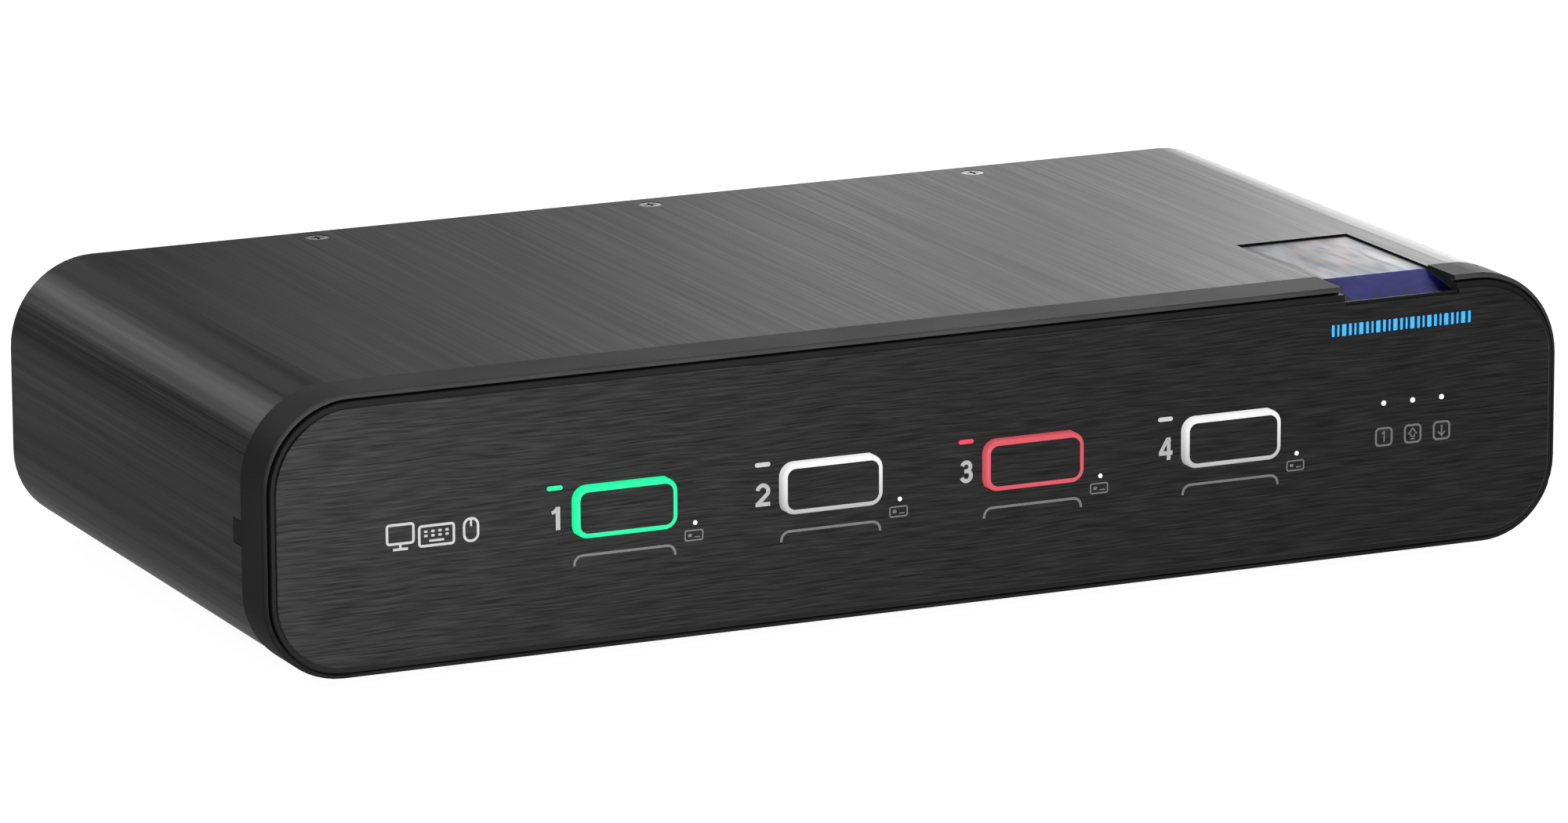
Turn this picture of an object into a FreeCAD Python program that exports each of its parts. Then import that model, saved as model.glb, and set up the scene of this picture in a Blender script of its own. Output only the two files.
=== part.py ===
import FreeCAD, Part
import math
import os

V = FreeCAD.Vector

# A four-port desktop KVM switch, in millimetres. It is drawn with x = 0 at mid width, y = 0 at the bezel's
# front plane and z = 0 at the casing's underside. save() moves each node to the final origin: on the
# table, under the middle of the whole box. The front faces -Y.

PAST = 1.0                    # how far a cutter runs past the faces it cuts through

# Casing
WIDTH = 330.0
HEIGHT = 65.6
DEPTH = 165.6                 # bezel front plane to the sleeve's rear edge
TOP_RADIUS = 21.5
BOTTOM_RADIUS = 19.1
FOOT_HEIGHT = 2.0
BEZEL_DEPTH = 13.4
SLEEVE_INSET = 0.35           # the bezel stands this much proud of the sleeve
SLEEVE_WALL = 2.0
SLEEVE_INNER = SLEEVE_INSET + SLEEVE_WALL
SHEET = 1.2                   # steel of the tray and the rear panel

# Bezel
LIP = 1.0                     # width of the thin rim round the front panel
LIP_DEPTH = 2.0
BEZEL_WALL = 4.2
BEZEL_EASE = 0.9              # rounding of the bezel's front edge, nearly the whole rim
SPIGOT_GAP = 0.2
SPIGOT_LENGTH = 8.0
TAB_Y = 19.0                  # rear end of the side tabs
TAB_LOW = 29.7
TAB_HIGH = 35.3
TAB_GAP = 0.2
LUG_HEIGHT = 7.0
LUG_DEPTH = 2.0
LUG_HALF_WIDTH = 5.0
SCREW_BLOCK_HALF_WIDTH = 5.0  # blocks inside the spigot that take the front screws
SCREW_BLOCK_HEIGHT = 4.5
SCREW_BLOCK_BORE = 3.0

# Front panel and its facing
PANEL_INSET = 1.6
PANEL_BODY_INSET = 4.4
PANEL_FRONT = -0.85
PANEL_BACK = 4.0
OVERLAY_FRONT = -1.45
OVERLAY_HALF_WIDTH = 162.4
OVERLAY_LOW = 3.0
OVERLAY_HIGH = 62.6
OVERLAY_BEVEL = 0.2
PANEL_EASE = 0.4

# Buttons and lights
BUTTON_PITCH = 51.6
BUTTON_MIDDLE = -0.3          # the row of buttons stands slightly left of the middle
BUTTON_XS = [BUTTON_MIDDLE + BUTTON_PITCH * step for step in (-1.5, -0.5, 0.5, 1.5)]
BUTTON_Z = HEIGHT / 2
BUTTON_WIDTH = 25.4
BUTTON_HEIGHT = 12.0
BUTTON_RADIUS = 3.2
BUTTON_PROUD = 1.6
BUTTON_FRONT = OVERLAY_FRONT - BUTTON_PROUD
BUTTON_RIM = 1.15
BUTTON_EASE = 0.8             # rounding of the lit ring, which reads as a bead
BUTTON_GAP = 0.3
BUTTON_TRAVEL = 1.0
FACE_THICKNESS = 1.0
FACE_GAP = 0.05
CAVITY_SHRINK = 0.2           # the cap's rear cavity is this much smaller than its front pocket
PLUNGER_SHRINK = 0.4
PLUNGER_THICKNESS = 1.2
PLUNGER_STEM_RADIUS = 2.0
CAP_WEB_BACK = BUTTON_FRONT + 2.05
FLANGE_FRONT = PANEL_BACK + 0.3
FLANGE_BACK = FLANGE_FRONT + 1.0
FLANGE_GROW = 1.25
PORT_LIGHT_DX = -17.1
PORT_LIGHT_Z = 39.05
PORT_LIGHT_WIDTH = 3.8
PORT_LIGHT_HEIGHT = 1.0
CARD_LIGHT_DX = 17.55
CARD_LIGHT_Z = 27.3
CARD_LIGHT_RADIUS = 0.5
LOCK_LIGHT_XS = (117.75, 125.5, 133.25)
LOCK_LIGHT_Z = 37.0
LOCK_LIGHT_RADIUS = 0.6
LIGHT_FRONT = OVERLAY_FRONT - 0.05
LIGHT_GAP = 0.05
LIGHT_BACK = 10.8
LIGHT_FLARE = 0.6             # the pipes are this much wider behind the panel
LED_WIDTH = 1.6
LED_HEIGHT = 1.0
LED_GAP = 0.2
BUTTON_LED_DX = 8.0

# Front board, standing behind the panel
FRONT_BOARD_Y = 12.0
BOARD = 1.6                   # thickness of every circuit board
FRONT_BOARD_X = (-104.0, 146.0)
FRONT_BOARD_Z = (13.0, 52.0)
BOSS_XS = (-97.0, 0.0, 103.0)
BOSS_ZS = (16.5, 48.5)
BOSS_RADIUS = 3.0
BOSS_BORE = 6.0
LUG_SCREW_BORE = 3.5
SWITCH_SIZE = 6.2
SWITCH_FRONT = 8.0
SWITCH_MOUTH = 0.6            # depth of the narrow mouth that keeps the stem's collar in
SWITCH_BORE = 2.2 + BUTTON_TRAVEL   # leaves the stem's collar room to travel
STEM_FRONT = 6.4
STEM_BACK = SWITCH_FRONT + 1.6
STEM_RADIUS = 1.7
STEM_COLLAR_RADIUS = 2.1
STEM_COLLAR_LENGTH = 0.7
STEM_GAP = 0.25

# Tray and boards
TRAY_FLOOR = SLEEVE_INNER
TRAY_TOP = TRAY_FLOOR + SHEET
TRAY_HALF_WIDTH = 141.2
TRAY_FRONT = 22.0
TRAY_SIDE_HEIGHT = 6.6
STANDOFF_HEIGHT = 6.0
HEX_ACROSS_FLATS = 5.5
MAIN_BOARD_Z = TRAY_TOP + STANDOFF_HEIGHT
MAIN_TOP = MAIN_BOARD_Z + BOARD
SPACER_HEIGHT = 24.0
VIDEO_BOARD_Z = MAIN_TOP + SPACER_HEIGHT
VIDEO_TOP = VIDEO_BOARD_Z + BOARD
BOARD_HALF_WIDTH = 138.0
MAIN_BOARD_FRONT = 24.0
VIDEO_BOARD_FRONT = 70.0
BOARD_REAR = 162.9
POST_X = 132.0
FRONT_POST_Y = 32.0
REAR_POST_YS = (78.0, 140.0)
POST_HOLE_RADIUS = 1.6
STUD_LENGTH = 6.0
SPACER_THREAD = 8.0

# What the boards carry
LINK_X = (20.0, 60.0)         # the connector between the boards
LINK_Y = (84.0, 90.0)
LINK_SPLIT = MAIN_TOP + 10.0
LINK_STEP = 1.0
RIBBON_Z = 30.0               # centre height at the front board
RIBBON_Y = 31.75              # centre at the main board
RIBBON_BEND = 6.0
RIBBON_THICKNESS = 1.0
HEADER_LENGTH = 6.0
HEADER_HALF_WIDTH = 17.0
RIBBON_HALF_WIDTH = HEADER_HALF_WIDTH - 2.0
CHIP_SIZE = 14.0
CHIP_HEIGHT = 1.4
CHIP_Y = 112.0
LARGE_CHIP_SIZE = 24.0
LARGE_CHIP_HEIGHT = 1.6
LARGE_CHIP_X = 92.0
VIDEO_CHIP_X = 0.0
VIDEO_CHIP_Y = 115.0
SINK_SIZE = 40.0
SINK_BASE = 2.5
SINK_FIN = 1.6
SINK_FIN_PITCH = 4.8
SINK_FIN_COUNT = 9
SINK_FIN_HEIGHT = 9.0
CELL_X = -60.0
CELL_Y = 60.0
CELL_RADIUS = 10.0
CELL_HEIGHT = 3.2
CELL_GAP = 0.1
HOLDER_RADIUS = 12.0
HOLDER_FLOOR = 1.5
HOLDER_HEIGHT = 4.0
CAPACITOR_XS = (104.0, 116.0, 128.0)
CAPACITOR_Y = 132.0
CAPACITOR_RADIUS = 4.0
CAPACITOR_HEIGHT = 11.0
CAPACITOR_ROUNDING = 0.6

# Rear panel
PANEL_REAR_FACE = DEPTH - 1.0
PANEL_INNER_FACE = PANEL_REAR_FACE - SHEET
REAR_PANEL_INSET = SLEEVE_INNER + 0.25
FLANGE_REACH = 13.4
TAB_HALF_WIDTH = 11.0
SHEET_GAP = 0.25
TRAY_REAR_GAP = 0.2
CUTOUT_GAP = 0.25
MOUTH_Y = DEPTH + 0.4         # rear faces of the sockets
JACK_MOUTH_Y = DEPTH + 1.4    # rear faces of the audio barrels
CHANNEL_XS = (-122.0, -80.0, -38.0, 4.0)
USB_B_DX = -7.0
AUDIO_DX = 8.0
VIDEO_OUT_X = 90.0
AUDIO_OUT_X = 50.0
CARD_SOCKET_X = 70.0
STACK_X = 90.0
REMOTE_X = 111.0
DC_X = 130.0
VENT_WIDTH = 2.4
VENT_PITCH = 5.0
VENT_HALF_COUNT = 20
VENT_LOW = 50.0
VENT_HIGH = 58.0
NEARLY = 0.01                 # keeps a round end just short of a full half circle

# Sockets
VIDEO_WIDTH = 15.0
VIDEO_HEIGHT = 5.6
VIDEO_CORNER = 1.6
VIDEO_LENGTH = 12.0
VIDEO_LIFT = 0.3              # the shells stand this much above their board
VIDEO_PAD_HALF_WIDTH = 5.0
VIDEO_TONGUE = (11.6, 1.2)
VIDEO_TONGUE_Z = VIDEO_TOP + 3.44
SHELL = 0.5                   # steel of the socket shells
INSERT_GAP = 0.05
INSERT_ROOT = 2.0
SOCKET_FLOOR = 4.0            # thickness behind each USB opening
USB_B_WIDTH = 12.0
USB_B_HEIGHT = 10.9
USB_B_LENGTH = 16.0
USB_B_OPENING = (8.5, 7.8)
USB_B_CORNER = 1.6
USB_B_TONGUE = (5.6, 3.2)
USB_B_TONGUE_INSET = 1.5
USB_A_WIDTH = 14.4
USB_A_PORT_HEIGHT = 7.8
USB_A_OPENING = (12.5, 5.12)
USB_A_LENGTH = 17.5
USB_A_TONGUE_WIDTH = 11.0
USB_A_TONGUE_Z = (0.3, 2.1)   # above the middle of the opening
TONGUE_INSET = 1.0
AUDIO_BORE = 1.8
AUDIO_BARREL = 3.1
AUDIO_Z = MAIN_TOP + 4.0
AUDIO_BORE_LENGTH = 14.0
AUDIO_BODY_HALF_WIDTH = 4.5
AUDIO_BODY_HEIGHT = 8.0
AUDIO_BODY_FRONT = 150.5
REMOTE_WIDTH = 12.8
REMOTE_HEIGHT = 12.0
REMOTE_LENGTH = 14.0
REMOTE_OPENING = (9.8, 6.8)
REMOTE_OPENING_DEPTH = 11.0
REMOTE_OPENING_LOW = MAIN_TOP + 3.9
LATCH_HALF_WIDTH = 3.1
LATCH_DEPTH = 1.5
CATCH_HALF_WIDTH = 1.7
CATCH_DEPTH = 2.9
DC_WIDTH = 9.6
DC_HEIGHT = 11.0
DC_LENGTH = 14.5
DC_BARREL = 3.2
DC_PIN = 1.05
DC_DEPTH = 10.0
DC_PIN_LENGTH = 9.0
DC_Z = MAIN_TOP + 6.2

# Screws
SCREW_XS = (-88.0, 0.0, 88.0)
SCREW_Y = 159.1
FRONT_SCREW_Y = 17.4
FLAT_HEAD_RADIUS = 2.8
FLAT_HEAD_DEPTH = 1.5
FLAT_SHANK_RADIUS = 1.4
FLAT_LENGTH = 6.0
FLAT_RECESS = 1.7
RECESS_DEPTH = 0.9
RECESS_SLOT = 0.7
HEAD_SINK = 0.1
HOLE_GAP = 0.1
THREAD_GAP = 0.05
PAN_HEAD_RADIUS = 2.2
PAN_HEAD_HEIGHT = 1.6
PAN_HEAD_ROUNDING = 0.6
PAN_RECESS = 1.2
SMALL_SHANK_RADIUS = 1.0
SMALL_LENGTH = 5.0
BOARD_SHANK_RADIUS = 1.25
BOARD_SCREW_LENGTH = 6.0
LUG_SCREW_XS = (-120.0, 0.0, 120.0)
LUG_SCREW_ZS = (BEZEL_WALL + LUG_HEIGHT / 2, HEIGHT - BEZEL_WALL - LUG_HEIGHT / 2)

# Tamper label, its pocket in the sleeve and its ramp in the bezel
LABEL_X = (108.3, 136.8)
LABEL_REAR = 53.6
LABEL_THICKNESS = 0.15
RIM_DEPTH = 0.5               # rim of the panel that closes the ramp in front
RIM_HIGH = 62.3
RIM_LOW = 61.6                # where the facing starts below the rim
RIM_MARGIN = 0.3              # the facing also stands this far off the rim's ends
LABEL_FRONT = PANEL_FRONT + RIM_DEPTH + 0.05
POCKET_MARGIN = (1.0, 0.5)    # left and right of the label
POCKET_REAR = 54.2
POCKET_DEPTH = 0.6
POCKET_FLOOR = HEIGHT - SLEEVE_INSET - POCKET_DEPTH
RAMP_LOW = 62.0               # height of the ramp at the bezel's front plane
RAMP_SLOPE = (POCKET_FLOOR - RAMP_LOW) / BEZEL_DEPTH

# Feet
FOOT_RADIUS = 6.5
FOOT_X = 122.0
FOOT_YS = (36.0, 140.0)
FOOT_ROUNDING = 0.7

ORIGIN_Y = -(BUTTON_FRONT + JACK_MOUTH_Y) / 2


# ---------------------------------------------------------------- basic shapes

def box(x0, x1, y0, y1, z0, z1):
    return Part.makeBox(x1 - x0, y1 - y0, z1 - z0, V(x0, y0, z0))


def rod(radius, x, z, y0, y1):
    """Round bar along Y."""
    return Part.makeCylinder(radius, y1 - y0, V(x, y0, z), V(0, 1, 0))


def post(radius, x, y, z0, z1):
    """Round bar along Z."""
    return Part.makeCylinder(radius, z1 - z0, V(x, y, z0))


def quarter_arc(cx, cz, radius, start):
    """Quarter circle in the plane y = 0, anticlockwise from the start angle in degrees."""
    points = []
    for angle in (start, start + 45, start + 90):
        turn = math.radians(angle)
        points.append(V(cx + radius * math.cos(turn), 0, cz + radius * math.sin(turn)))
    return Part.Arc(*points).toShape()


def rounded_plate(x0, x1, z0, z1, top_radius, bottom_radius, y0, y1):
    """Plate square to Y, with rounded corners of one radius above and another below."""
    arcs = [
        quarter_arc(x1 - bottom_radius, z0 + bottom_radius, bottom_radius, 270),
        quarter_arc(x1 - top_radius, z1 - top_radius, top_radius, 0),
        quarter_arc(x0 + top_radius, z1 - top_radius, top_radius, 90),
        quarter_arc(x0 + bottom_radius, z0 + bottom_radius, bottom_radius, 180),
    ]
    edges = []
    for index, arc in enumerate(arcs):
        start = arcs[index - 1].lastVertex().Point
        end = arc.firstVertex().Point
        if start.distanceToPoint(end) > 1e-6:
            edges.append(Part.makeLine(start, end))
        edges.append(arc)
    face = Part.Face(Part.Wire(edges))
    face.translate(V(0, y0, 0))
    return face.extrude(V(0, y1 - y0, 0))


def casing_block(inset, y0, y1):
    """Solid block with the casing's cross-section, shrunk by the inset all round."""
    return rounded_plate(
        inset - WIDTH / 2, WIDTH / 2 - inset, inset, HEIGHT - inset,
        TOP_RADIUS - inset, BOTTOM_RADIUS - inset, y0, y1)


def front_edges(solid, y):
    """Edges of a solid that lie in the plane at this y."""
    found = []
    for edge in solid.Edges:
        limits = edge.BoundBox
        if abs(limits.YMin - y) < 1e-4 and abs(limits.YMax - y) < 1e-4:
            found.append(edge)
    return found


def hexagon(across_flats, x, y, z0, z1):
    corner_radius = across_flats / math.sqrt(3)
    points = []
    for index in range(7):
        turn = math.radians(60 * index)
        points.append(V(x + corner_radius * math.cos(turn), y + corner_radius * math.sin(turn), z0))
    return Part.Face(Part.makePolygon(points)).extrude(V(0, 0, z1 - z0))


def side_profile(points, x0, x1):
    """Prism along X from a closed outline of (y, z) points."""
    corners = [V(x0, y, z) for y, z in points]
    return Part.Face(Part.makePolygon(corners + corners[:1])).extrude(V(x1 - x0, 0, 0))


def rear_profile(points, y0, y1):
    """Prism along Y from a closed outline of (x, z) points."""
    corners = [V(x, y0, z) for x, z in points]
    return Part.Face(Part.makePolygon(corners + corners[:1])).extrude(V(0, y1 - y0, 0))


def placed(shape, x, y, z):
    copy = shape.copy()
    copy.translate(V(x, y, z))
    return copy


def turned(shape, axis, angle):
    copy = shape.copy()
    copy.rotate(V(0, 0, 0), axis, angle)
    return copy


# ---------------------------------------------------------------- screws

def cross_recess(reach, depth):
    """Cutter for a cross-head recess that opens at z = 0."""
    half_slot = RECESS_SLOT / 2
    first = box(-reach, reach, -half_slot, half_slot, -depth, PAST)
    second = box(-half_slot, half_slot, -reach, reach, -depth, PAST)
    return first.fuse(second)


def flat_screw():
    """Countersunk screw pointing down, its head's face at z = 0."""
    head = Part.makeCone(FLAT_SHANK_RADIUS, FLAT_HEAD_RADIUS, FLAT_HEAD_DEPTH, V(0, 0, -FLAT_HEAD_DEPTH))
    shank = post(FLAT_SHANK_RADIUS, 0, 0, -FLAT_LENGTH, -FLAT_HEAD_DEPTH)
    return head.fuse(shank).cut(cross_recess(FLAT_RECESS, RECESS_DEPTH))


def flat_screw_hole():
    """Cutter for a countersunk screw, a little wider than the screw all round."""
    cone = Part.makeCone(
        FLAT_SHANK_RADIUS + HOLE_GAP, FLAT_HEAD_RADIUS + HOLE_GAP, FLAT_HEAD_DEPTH, V(0, 0, -FLAT_HEAD_DEPTH))
    mouth = post(FLAT_HEAD_RADIUS + HOLE_GAP, 0, 0, 0, PAST)
    through = post(FLAT_SHANK_RADIUS + HOLE_GAP, 0, 0, -FLAT_LENGTH - PAST, -FLAT_HEAD_DEPTH)
    return cone.fuse([mouth, through])


def pan_screw(shank_radius, length):
    """Pan-head screw pointing down, the underside of its head at z = 0."""
    head = post(PAN_HEAD_RADIUS, 0, 0, 0, PAN_HEAD_HEIGHT)
    head = head.makeFillet(PAN_HEAD_ROUNDING, [head.Edges[0]])
    shank = post(shank_radius, 0, 0, -length, 0)
    recess = placed(cross_recess(PAN_RECESS, RECESS_DEPTH), 0, 0, PAN_HEAD_HEIGHT)
    return head.fuse(shank).cut(recess)


def at_top_screws(shape):
    """Copies of a downward shape at the three rear screws in the top of the sleeve."""
    height = HEIGHT - SLEEVE_INSET - HEAD_SINK
    return [placed(shape, x, SCREW_Y, height) for x in SCREW_XS]


def at_bottom_screws(shape):
    """Copies, turned upward, at the three rear and three front screws under the sleeve."""
    upward = turned(shape, V(1, 0, 0), 180)
    copies = []
    for x in SCREW_XS:
        for y in (FRONT_SCREW_Y, SCREW_Y):
            copies.append(placed(upward, x, y, SLEEVE_INSET + HEAD_SINK))
    return copies


def top_screws():
    return Part.makeCompound(at_top_screws(flat_screw()))


def bottom_screws():
    return Part.makeCompound(at_bottom_screws(flat_screw()))


def panel_screws():
    """Small screws from behind: six hold the panel in the bezel, six hold the front board."""
    forward = turned(pan_screw(SMALL_SHANK_RADIUS, SMALL_LENGTH), V(1, 0, 0), -90)
    screws = []
    for x in LUG_SCREW_XS:
        for z in LUG_SCREW_ZS:
            screws.append(placed(forward, x, PANEL_BACK + LUG_DEPTH, z))
    for x in BOSS_XS:
        for z in BOSS_ZS:
            screws.append(placed(forward, x, FRONT_BOARD_Y + BOARD, z))
    return Part.makeCompound(screws)


def post_places():
    """Every board post as (x, y)."""
    places = []
    for x in (-POST_X, POST_X):
        for y in (FRONT_POST_Y,) + REAR_POST_YS:
            places.append((x, y))
    return places


def stacked_places():
    """The posts that also carry the upper board."""
    return [(x, y) for x, y in post_places() if y != FRONT_POST_Y]


def board_screws():
    screw = pan_screw(BOARD_SHANK_RADIUS, BOARD_SCREW_LENGTH)
    screws = [placed(screw, x, FRONT_POST_Y, MAIN_TOP) for x in (-POST_X, POST_X)]
    for x, y in stacked_places():
        screws.append(placed(screw, x, y, VIDEO_TOP))
    return Part.makeCompound(screws)


def standoffs():
    pieces = []
    for x, y in post_places():
        column = hexagon(HEX_ACROSS_FLATS, x, y, TRAY_TOP, MAIN_BOARD_Z)
        pieces.append(column.cut(post(BOARD_SHANK_RADIUS + THREAD_GAP, x, y, TRAY_TOP, MAIN_BOARD_Z)))
    return Part.makeCompound(pieces)


def spacers():
    """Hexagonal spacers between the boards, each with a stud that passes down into its standoff."""
    pieces = []
    for x, y in stacked_places():
        column = hexagon(HEX_ACROSS_FLATS, x, y, MAIN_TOP, VIDEO_BOARD_Z)
        stud = post(BOARD_SHANK_RADIUS, x, y, MAIN_TOP - STUD_LENGTH, MAIN_TOP)
        thread = post(BOARD_SHANK_RADIUS + THREAD_GAP, x, y, VIDEO_BOARD_Z - SPACER_THREAD, VIDEO_BOARD_Z)
        pieces.append(column.fuse(stud).cut(thread))
    return Part.makeCompound(pieces)


# ---------------------------------------------------------------- casing

def ramp_height(y):
    return RAMP_LOW + RAMP_SLOPE * y


def ramp_cutter():
    """Everything above the label's ramp, across the width of its pocket."""
    front = PANEL_FRONT + RIM_DEPTH
    top = HEIGHT + PAST
    outline = [(front, ramp_height(front)), (BEZEL_DEPTH, POCKET_FLOOR), (BEZEL_DEPTH, top), (front, top)]
    return side_profile(outline, LABEL_X[0] - POCKET_MARGIN[0], LABEL_X[1] + POCKET_MARGIN[1])


def rim_cutter(margin, low):
    """Everything above this height in front of the ramp."""
    return box(
        LABEL_X[0] - POCKET_MARGIN[0] - margin, LABEL_X[1] + POCKET_MARGIN[1] + margin,
        OVERLAY_FRONT - PAST, PANEL_FRONT + RIM_DEPTH, low, HEIGHT)


def sleeve():
    """Extruded tube with the label pocket, a notch in each side and the screw holes."""
    tube = casing_block(SLEEVE_INSET, BEZEL_DEPTH, DEPTH)
    cutters = [casing_block(SLEEVE_INNER, BEZEL_DEPTH - PAST, DEPTH + PAST)]
    cutters.append(box(
        LABEL_X[0] - POCKET_MARGIN[0], LABEL_X[1] + POCKET_MARGIN[1],
        BEZEL_DEPTH - PAST, POCKET_REAR, POCKET_FLOOR, HEIGHT))
    for x in (-WIDTH / 2, WIDTH / 2):
        cutters.append(box(
            x - BEZEL_WALL, x + BEZEL_WALL, BEZEL_DEPTH - PAST, TAB_Y + TAB_GAP,
            TAB_LOW - TAB_GAP, TAB_HIGH + TAB_GAP))
    cutters += at_top_screws(flat_screw_hole())
    cutters += at_bottom_screws(flat_screw_hole())
    return tube.cut(cutters)


def front_bezel():
    """Moulded ring: thin front rim, thick wall, and a spigot and two tabs that enter the sleeve."""
    block = casing_block(0, 0, BEZEL_DEPTH)
    block = block.makeFillet(BEZEL_EASE, front_edges(block, 0))
    spigot_back = BEZEL_DEPTH + SPIGOT_LENGTH
    spigot = casing_block(SLEEVE_INNER + SPIGOT_GAP, BEZEL_DEPTH, spigot_back)
    additions = [spigot]
    inner = WIDTH / 2 - BEZEL_WALL
    outer = WIDTH / 2 - SLEEVE_INSET
    additions.append(box(-outer, -inner, BEZEL_DEPTH, TAB_Y, TAB_LOW, TAB_HIGH))
    additions.append(box(inner, outer, BEZEL_DEPTH, TAB_Y, TAB_LOW, TAB_HIGH))
    ring = block.fuse(additions)
    ring = ring.cut([
        casing_block(LIP, -PAST, LIP_DEPTH),
        casing_block(BEZEL_WALL, -PAST, spigot_back + PAST)])
    inside = []
    lug_y = (PANEL_BACK, PANEL_BACK + LUG_DEPTH)
    for x in LUG_SCREW_XS:
        for z in LUG_SCREW_ZS:
            inside.append(box(
                x - LUG_HALF_WIDTH, x + LUG_HALF_WIDTH, *lug_y, z - LUG_HEIGHT / 2, z + LUG_HEIGHT / 2))
    for x in SCREW_XS:
        inside.append(box(
            x - SCREW_BLOCK_HALF_WIDTH, x + SCREW_BLOCK_HALF_WIDTH, BEZEL_DEPTH, spigot_back,
            BEZEL_WALL, BEZEL_WALL + SCREW_BLOCK_HEIGHT))
    ring = ring.fuse(inside)
    cutters = [ramp_cutter()]
    for x in LUG_SCREW_XS:
        for z in LUG_SCREW_ZS:
            cutters.append(rod(SMALL_SHANK_RADIUS + HOLE_GAP, x, z, *lug_y))
    for x in SCREW_XS:
        cutters.append(post(
            FLAT_SHANK_RADIUS + THREAD_GAP, x, FRONT_SCREW_Y, 0, BEZEL_WALL + SCREW_BLOCK_BORE))
    return ring.cut(cutters)


def button_block(x, grow, y0, y1):
    """Block with a button's outline, grown or shrunk all round."""
    half_width = BUTTON_WIDTH / 2 + grow
    half_height = BUTTON_HEIGHT / 2 + grow
    radius = BUTTON_RADIUS + grow
    return rounded_plate(
        x - half_width, x + half_width, BUTTON_Z - half_height, BUTTON_Z + half_height,
        radius, radius, y0, y1)


def port_light_block(x, grow, y0, y1):
    """Short dash with round ends, beside a button."""
    half_width = PORT_LIGHT_WIDTH / 2 + grow
    half_height = PORT_LIGHT_HEIGHT / 2 + grow
    centre = x + PORT_LIGHT_DX
    radius = half_height - NEARLY
    return rounded_plate(
        centre - half_width, centre + half_width, PORT_LIGHT_Z - half_height, PORT_LIGHT_Z + half_height,
        radius, radius, y0, y1)


def round_lights():
    """Each round light as (x, z, radius): one card light by each button, and three lock lights."""
    places = [(x + CARD_LIGHT_DX, CARD_LIGHT_Z, CARD_LIGHT_RADIUS) for x in BUTTON_XS]
    places += [(x, LOCK_LIGHT_Z, LOCK_LIGHT_RADIUS) for x in LOCK_LIGHT_XS]
    return places


def window_cutters(y0, y1):
    """Openings that the panel and its facing share, for the buttons and the lights."""
    cutters = []
    for x in BUTTON_XS:
        cutters.append(button_block(x, BUTTON_GAP, y0, y1))
        cutters.append(port_light_block(x, LIGHT_GAP, y0, y1))
    for x, z, radius in round_lights():
        cutters.append(rod(radius + LIGHT_GAP, x, z, y0, y1))
    return cutters


def front_panel():
    """Moulded front plate in the bezel, with bosses behind it for the front board."""
    plate = casing_block(PANEL_INSET, PANEL_FRONT, LIP_DEPTH)
    plate = plate.makeFillet(PANEL_EASE, front_edges(plate, PANEL_FRONT))
    additions = [casing_block(PANEL_BODY_INSET, LIP_DEPTH, PANEL_BACK)]
    cutters = window_cutters(PANEL_FRONT - PAST, PANEL_BACK + PAST)
    cutters += [ramp_cutter(), rim_cutter(0, RIM_HIGH)]
    for x in BOSS_XS:
        for z in BOSS_ZS:
            additions.append(rod(BOSS_RADIUS, x, z, PANEL_BACK, FRONT_BOARD_Y))
            cutters.append(rod(
                SMALL_SHANK_RADIUS + THREAD_GAP, x, z, FRONT_BOARD_Y - BOSS_BORE, FRONT_BOARD_Y))
    for x in LUG_SCREW_XS:
        for z in LUG_SCREW_ZS:
            cutters.append(rod(
                SMALL_SHANK_RADIUS + THREAD_GAP, x, z, PANEL_BACK - LUG_SCREW_BORE, PANEL_BACK))
    return plate.fuse(additions).cut(cutters)


def front_overlay():
    """Thin brushed facing over the front panel."""
    sheet = rounded_plate(
        -OVERLAY_HALF_WIDTH, OVERLAY_HALF_WIDTH, OVERLAY_LOW, OVERLAY_HIGH,
        TOP_RADIUS - OVERLAY_LOW, BOTTOM_RADIUS - OVERLAY_LOW, OVERLAY_FRONT, PANEL_FRONT)
    sheet = sheet.makeChamfer(OVERLAY_BEVEL, front_edges(sheet, OVERLAY_FRONT))
    cutters = window_cutters(OVERLAY_FRONT - PAST, PANEL_FRONT + PAST)
    cutters.append(rim_cutter(RIM_MARGIN, RIM_LOW))
    return sheet.cut(cutters)


def tamper_label():
    """Foil label that lies in the sleeve's pocket and bends down the bezel's ramp."""
    low = ramp_height(LABEL_FRONT)
    outline = [
        (LABEL_FRONT, low), (BEZEL_DEPTH, POCKET_FLOOR), (LABEL_REAR, POCKET_FLOOR),
        (LABEL_REAR, POCKET_FLOOR + LABEL_THICKNESS), (BEZEL_DEPTH, POCKET_FLOOR + LABEL_THICKNESS),
        (LABEL_FRONT, low + LABEL_THICKNESS)]
    return side_profile(outline, *LABEL_X)


def foot(x, y):
    """Round rubber foot with a rounded rim."""
    pad = post(FOOT_RADIUS, x, y, -FOOT_HEIGHT, SLEEVE_INSET)
    rim = [edge for edge in pad.Edges if edge.BoundBox.ZMax < 0]
    return pad.makeFillet(FOOT_ROUNDING, rim)


def chassis_tray():
    """Folded steel tray that the boards stand on."""
    rear = PANEL_INNER_FACE - TRAY_REAR_GAP
    floor = box(-TRAY_HALF_WIDTH, TRAY_HALF_WIDTH, TRAY_FRONT, rear, TRAY_FLOOR, TRAY_TOP)
    sides = []
    for x in (-TRAY_HALF_WIDTH, TRAY_HALF_WIDTH - SHEET):
        sides.append(box(x, x + SHEET, TRAY_FRONT, rear, TRAY_FLOOR, TRAY_FLOOR + TRAY_SIDE_HEIGHT))
    holes = [post(FLAT_SHANK_RADIUS + HOLE_GAP, x, SCREW_Y, TRAY_FLOOR, TRAY_TOP) for x in SCREW_XS]
    return floor.fuse(sides).cut(holes)


# ---------------------------------------------------------------- buttons

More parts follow.
